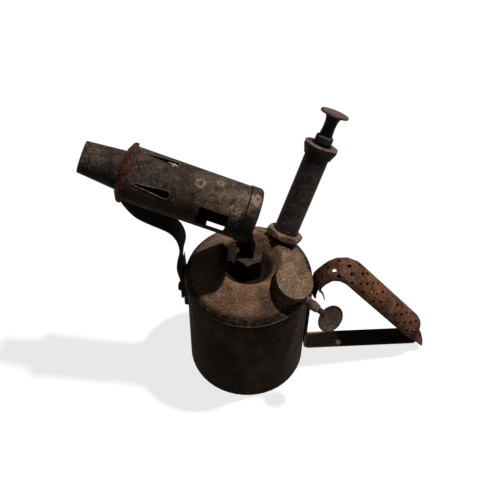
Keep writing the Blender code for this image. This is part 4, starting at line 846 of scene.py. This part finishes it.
def make_seam_bead():
    """The rolled edge of the top, soldered to the tank's wall, pale as a painted highlight along
    the edge.
    """
    centre = Vector((0, 0, SKIRT_BOTTOM - BEAD_RADIUS * 0.7))
    ring = ring_points(centre, UP, SKIRT_RADIUS - BEAD_RADIUS, 120)
    tube_piece("seam_bead", aged_metal("aged_skirt_edge_highlight", "skirt_edge_highlight"), ring, BEAD_RADIUS, UP, seed=3,
               wobble=0.05)


def make_solder(mats):
    """Fillets of solder round the pump's boss and the filler's neck."""
    pump = (pump_place(0), joint_axis("pump_stroke"), PUMP_BOSS_RADIUS + SOLDER_OUT, 48)
    filler = (Vector(joints["cap_turn"]["pos_m"]), joint_axis("cap_turn"),
              FILLER_NECK_RADIUS + SOLDER_OUT, 56)
    for name, circle, seed in (("pump_solder", pump, 5), ("filler_solder", filler, 8)):
        tube_piece(name, mats["neck"], seated_ring("tank_top", *circle), SOLDER_RADIUS, circle[1],
                   seed=seed, wobble=0.22)


def make_pump_details(mats):
    """The thread on the boss below the nut, a bead at the cap's foot and one round its rim."""
    axis = joint_axis("pump_stroke")
    length = PUMP_NUT_FOOT - THREAD_SHORT
    thread = [circle_point(pump_place(THREAD_START + length * i / THREAD_STEPS), axis,
                           PUMP_BOSS_RADIUS, tau * THREAD_TURNS * i / THREAD_STEPS)
              for i in range(THREAD_STEPS + 1)]
    tube_piece("boss_thread", mats["pump"], thread, THREAD_RADIUS, axis, sides=6, closed=False)
    foot = ring_points(pump_place(PUMP_CAP_FOOT + CAP_BEAD_RISE), axis, PUMP_CAP_FOOT_RADIUS, 64)
    tube_piece("pump_cap_bead", mats["pump_top"], foot, CAP_BEAD_RADIUS, axis, seed=4, wobble=0.1)
    rim = ring_points(pump_place(PUMP_CAP_TOP - CAP_RIM_DROP), axis,
                      PUMP_CAP_RADIUS - CAP_RIM_IN, 64)
    tube_piece("pump_cap_rim", mats["nut"], rim, CAP_RIM_RADIUS, axis, seed=9, wobble=0.12)


def make_knob_waist(mats):
    """The neck's smooth flare from the collar to the underside of the disc."""
    axis = joint_axis("pump_stroke")
    low, high = PUMP_COLLAR_TOP - WAIST_LAP, PUMP_DISC_FOOT + WAIST_LAP
    outline = [(WAIST_BORE, low), (0.0055, low), *WAIST, (0.0078, high), (WAIST_BORE, high)]
    bm = bmesh.new()
    rings = [[bm.verts.new(point)
              for point in ring_points(pump_place(station), axis, radius, WAIST_SIDES)]
             for radius, station in outline]
    bridge(bm, rings, closed=True)
    add_piece("knob_waist", bm, "plunger", mats["pump_top"])


def slot_outline(turn, radius, share):
    """A teardrop on the casing, its round end to the rear."""
    centre = SLOT_REAR + SLOT_HALF_WIDTH
    size = share * SLOT_HALF_WIDTH
    points = []
    for i in range(SLOT_ARC_STEPS + 1):
        angle = pi * i / SLOT_ARC_STEPS
        points.append((size * cos(angle), centre - size * sin(angle)))
    for side in (-1, 1):
        points.append((side * share * SLOT_TIP_HALF_WIDTH, SLOT_FRONT - SLOT_TIP_SHORT))
    return [burner_place(station, radius, turn + across / CASING_RADIUS)
            for across, station in points]


def make_slot_lips():
    """A thin bright burr along each slot's edge."""
    bm = bmesh.new()
    for turn in SLOT_TURNS:
        points = slot_outline(turn, CASING_RADIUS + LIP_RISE, LIP_SPREAD)
        normal = burner_place(0, 1, turn) - BURNER_FOOT
        add_tube(bm, points, LIP_RADIUS, normal, sides=6)
    add_piece("slot_lips", bm, "lamp", aged_metal("aged_lips", "lips"))


def make_slot_tongues():
    """The cut-out metal, bent inward with its round end deepest."""
    bm = bmesh.new()
    for turn, bend in zip(SLOT_TURNS, TONGUE_BENDS):
        rings = []
        for i in range(TONGUE_ROWS + 1):
            share = i / TONGUE_ROWS
            station = TONGUE_ROOT + (TONGUE_TIP - TONGUE_ROOT) * share
            radius = CASING_RADIUS - TONGUE_DROP - bend * share ** TONGUE_CURVE
            half = TONGUE_HALF_ROOT + TONGUE_HALF_GROWTH * share
            if i == TONGUE_ROWS:
                half *= TONGUE_TIP_SHARE
            turns = [turn + half * across / CASING_RADIUS for across in TONGUE_ACROSS]
            outer, inner = [[bm.verts.new(burner_place(station, radius - depth, place))
                             for place in turns] for depth in (0, TONGUE_THICKNESS)]
            rings.append(outer + inner[::-1])
        bridge(bm, rings)
    add_piece("slot_tongues", bm, "lamp", aged_metal("tongues_with_painted_light", "slot_soot_and_shade", tongue_marks))


def make_thumb_rims(mats):
    """A raised rim round both faces of the oval thumb piece."""
    centre = Vector(joints["air_screw_turn"]["pos_m"])
    along = joint_axis("air_screw_turn")
    face = (THUMB_FACE - along * THUMB_FACE.dot(along)).normalized()
    reach = along * (THUMB_HALF_LENGTH - THUMB_RIM_IN)
    width = along.cross(face) * (THUMB_HALF_WIDTH - THUMB_RIM_IN)
    rise = face * (THUMB_THICKNESS / 2 - THUMB_RIM_SUNK)
    turns = [tau * i / THUMB_RIM_STEPS for i in range(THUMB_RIM_STEPS)]
    bm = bmesh.new()
    for side in (-1, 1):
        points = [centre + reach * cos(turn) + width * sin(turn) + rise * side for turn in turns]
        add_tube(bm, points, THUMB_RIM_RADIUS, face, seed=6 + side, wobble=0.08)
    add_piece("thumb_rims", bm, "air_screw", mats["thumb"])


def make_tang(mats):
    """A torn corner of the grip's sheet that hangs at its upper end."""
    thick = SHEET_HALF_THICKNESS
    bm = bmesh.new()
    rings = []
    for i, (x, z) in enumerate(TANG_PATH):
        half = TANG_HALF_WIDTH - TANG_TAPER * i
        section = ((-thick, -half), (thick, -half), (thick, half), (-thick, half))
        rings.append([bm.verts.new((x + a, TANG_Y + b, z)) for a, b in section])
    bridge(bm, rings)
    add_piece("torn_tang", bm, "lamp", mats["grip"])


def add_ribbon(bm, ends):
    """A flat strip between two (x, z, low y, high y) places."""
    near, far = ends
    step = Vector((far[0] - near[0], 0, far[1] - near[1])).normalized()
    lift = Vector((step.z, 0, -step.x)) * SHEET_HALF_THICKNESS
    bridge(bm, [[bm.verts.new(Vector((x, y, z)) + lift * side)
                 for side, y in ((-1, low), (1, low), (1, high), (-1, high))]
                for x, z, low, high in ends])


def make_grip_liner(mats):
    """The doubled strap that runs on inside the channel, rusted through in three places."""
    bm = bmesh.new()
    for i, ends in enumerate(zip(LINER_PATH, LINER_PATH[1:])):
        strips = [(-1, 1)]
        if i in LINER_HOLES:
            half = ends[0][2]
            low, high = LINER_HOLES[i]
            strips = [(-1, low / half), (high / half, 1)]
        for low, high in strips:
            if high - low > LINER_LEAST_SHARE:
                add_ribbon(bm, [(x, z, half * low, half * high) for x, z, half in ends])
    add_piece("grip_liner", bm, "lamp", mats["handle"])


def scatter_crust(name, node, body, mat, count, size, seed, wanted):
    """Small flat lumps of scale on the faces of a node that a test picks."""
    rng = random.Random(seed)
    mesh = nodes[node].data
    mesh.calc_loop_triangles()
    faces = [tri for tri in mesh.loop_triangles if wanted(tri.center, tri.normal)]
    bm = bmesh.new()
    for tri in rng.choices(faces, [tri.area for tri in faces], k=count):
        a, b = rng.random(), rng.random()
        if a + b > 1:
            a, b = 1 - a, 1 - b
        corners = [mesh.vertices[i].co for i in tri.vertices]
        spot = corners[0] + (corners[1] - corners[0]) * a + (corners[2] - corners[0]) * b
        tilt = tri.normal.to_track_quat("Z", "Y").to_matrix()
        turn = tilt @ Matrix.Rotation(rng.uniform(0, tau), 3, "Z")
        lump = bmesh.ops.create_icosphere(bm, subdivisions=1, radius=1)["verts"]
        wide = size * rng.uniform(0.35, 1.0)
        long = wide * rng.uniform(0.7, 1.5)
        thick = wide * rng.uniform(0.18, 0.4)
        for vert in lump:
            jog = rng.uniform(0.7, 1.15)
            x, y, z = vert.co
            vert.co = spot + turn @ Vector((x * wide * jog, y * long * jog, z * thick * jog))
    add_piece(name, bm, body, mat)


def make_crusts(mats):
    window = Vector((-0.008, -0.013, 0.195))
    collar = burner_place(COLLAR_STATION, 0, 0)
    cap_axis = joint_axis("cap_turn")
    cap_centre = Vector(joints["cap_turn"]["pos_m"])

    def on_shoulder(spot, normal):
        return 0.11 < spot.z < 0.115 and normal.z > 0.2 and spot.xy.length > 0.044

    def on_dome(spot, normal):
        return spot.z > 0.114 and spot.xy.length > 0.029 and normal.z > 0.5

    def by_window(spot, normal):
        close = (spot - window).length < 0.011
        return close and (spot - burner_place(0.012, 0, 0)).length > 0.0195

    def on_collar(spot, normal):
        return (spot - collar).length > 0.0185 and 0.182 < spot.z < 0.2272

    def on_grip(spot, normal):
        return normal.z > 0.1

    def on_cap(spot, normal):
        away = (spot - cap_centre).cross(cap_axis).length
        return normal.dot(cap_axis) > 0.6 and away > 0.0105

    dirt = aged_metal("dried_dirt", "dirt")
    rows = (("shoulder_crust", "tank_top", "lamp", mats["tank_top"], 220, 0.0007, 11, on_shoulder),
            ("dome_grit", "tank_top", "lamp", mats["tank_top"], 420, 0.0004, 12, on_dome),
            ("window_scale", "burner_casing", "lamp", mats["burner"], 60, 0.0009, 13, by_window),
            ("collar_rust", "support_strap", "lamp", mats["strap"], 160, 0.0005, 14, on_collar),
            ("grip_rust", "handle_grip", "lamp", mats["grip"], 320, 0.00045, 15, on_grip),
            ("cap_dirt", "filler_cap", "cap", dirt, 90, 0.0005, 16, on_cap))
    for row in rows:
        scatter_crust(*row)


# Smooth shading of the carried-over solids
def smoothing_group():
    """Welds a solid's faces and shades it smooth, with its edges kept sharp."""
    group = bpy.data.node_groups.new("smooth_shading", "GeometryNodeTree")
    for in_out in ("INPUT", "OUTPUT"):
        group.interface.new_socket("Geometry", in_out=in_out, socket_type="NodeSocketGeometry")
    start = group.nodes.new("NodeGroupInput")
    plain = add_node(group, "GeometryNodeRemoveAttribute", Geometry=start.outputs[0],
                     Name="custom_normal")
    weld = add_node(group, "GeometryNodeMergeByDistance", Geometry=plain.outputs[0],
                    Distance=WELD_DISTANCE)
    faces = add_node(group, "GeometryNodeSetShadeSmooth", Geometry=weld.outputs[0])
    angle = add_node(group, "GeometryNodeInputMeshEdgeAngle").outputs["Unsigned Angle"]
    flat = add_node(group, "FunctionNodeCompare", {"data_type": "FLOAT", "operation": "LESS_THAN"},
                    i0=angle, i1=SHARP_ANGLE)
    edges = add_node(group, "GeometryNodeSetShadeSmooth", {"domain": "EDGE"},
                     Geometry=faces.outputs[0], Shade_Smooth=flat.outputs[0])
    add_node(group, "NodeGroupOutput", i0=edges.outputs[0])
    return group


def smooth_solids():
    group = smoothing_group()
    for obj in nodes.values():
        obj.modifiers.new("smooth_shading", "NODES").node_group = group


def dress_nodes():
    mats = {}
    for name, (finish, covered) in DRESS.items():
        mats[name] = aged_metal(f"aged_{name}", finish, MARKS.get(name), SOOT_AND_SHADE.get(name))
        for node in covered:
            slot = nodes[node].material_slots[0]
            slot.link = "OBJECT"
            slot.material = mats[name]
    return mats


# Light and surroundings
def seen_directly(tree):
    """1 for rays from the camera, reflections and transmission, else 0."""
    path = add_node(tree, "ShaderNodeLightPath")
    seen = math_node(tree, "ADD", path.outputs["Is Camera Ray"], path.outputs["Is Glossy Ray"])
    return math_node(tree, "ADD", seen, path.outputs["Is Transmission Ray"], True)


def make_floor():
    bm = bmesh.new()
    bmesh.ops.create_grid(bm, x_segments=1, y_segments=1, size=FLOOR_HALF_WIDTH)
    mesh = bpy.data.meshes.new("floor")
    bm.to_mesh(mesh)
    bm.free()
    floor = bpy.data.objects.new("floor", mesh)
    floor.location.z = -FLOOR_DROP
    bpy.context.collection.objects.link(floor)
    mat = bpy.data.materials.new("floor")
    mat.use_nodes = True
    tree = mat.node_tree
    shader = tree.nodes["Principled BSDF"]
    put(tree, shader, "Base Color", FLOOR_COLOUR)
    put(tree, shader, "Roughness", 1)
    put(tree, shader, "Specular IOR Level", 0)
    glow = add_node(tree, "ShaderNodeEmission", None,
                    Strength=product(tree, seen_directly(tree), FLOOR_GLOW))
    both = add_node(tree, "ShaderNodeAddShader", i0=shader.outputs[0], i1=glow.outputs[0])
    put(tree, tree.nodes["Material Output"], "Surface", both.outputs[0])
    mesh.materials.append(mat)


def make_sky():
    """White where it is seen, and a dim blue as light."""
    world = bpy.data.worlds.new("sky")
    bpy.context.scene.world = world
    world.use_nodes = True
    tree = world.node_tree
    background = tree.nodes["Background"]
    seen = seen_directly(tree)
    put(tree, background, "Strength", span(tree, seen, 0, 1, SKY_STRENGTH, 1))
    put(tree, background, "Color", mix_colour(tree, seen, SKY_COLOUR, WHITE))


def make_lights():
    for name, azimuth, elevation, distance, size, power in LIGHTS:
        light = bpy.data.lights.new(name, "AREA")
        light.shape = "DISK"
        light.size = size
        light.energy = power
        direction = spherical(azimuth, elevation)
        obj = bpy.data.objects.new(name, light)
        obj.location = LIGHT_AIM + direction * distance
        obj.rotation_euler = direction.to_track_quat("Z", "Y").to_euler()
        bpy.context.collection.objects.link(obj)


make_camera()
smooth_solids()
materials = dress_nodes()
make_seam_bead()
make_solder(materials)
make_pump_details(materials)
make_knob_waist(materials)
make_slot_lips()
make_slot_tongues()
make_thumb_rims(materials)
make_tang(materials)
make_grip_liner(materials)
make_crusts(materials)
make_floor()
make_sky()
make_lights()
bpy.context.scene.view_settings.view_transform = "Standard"
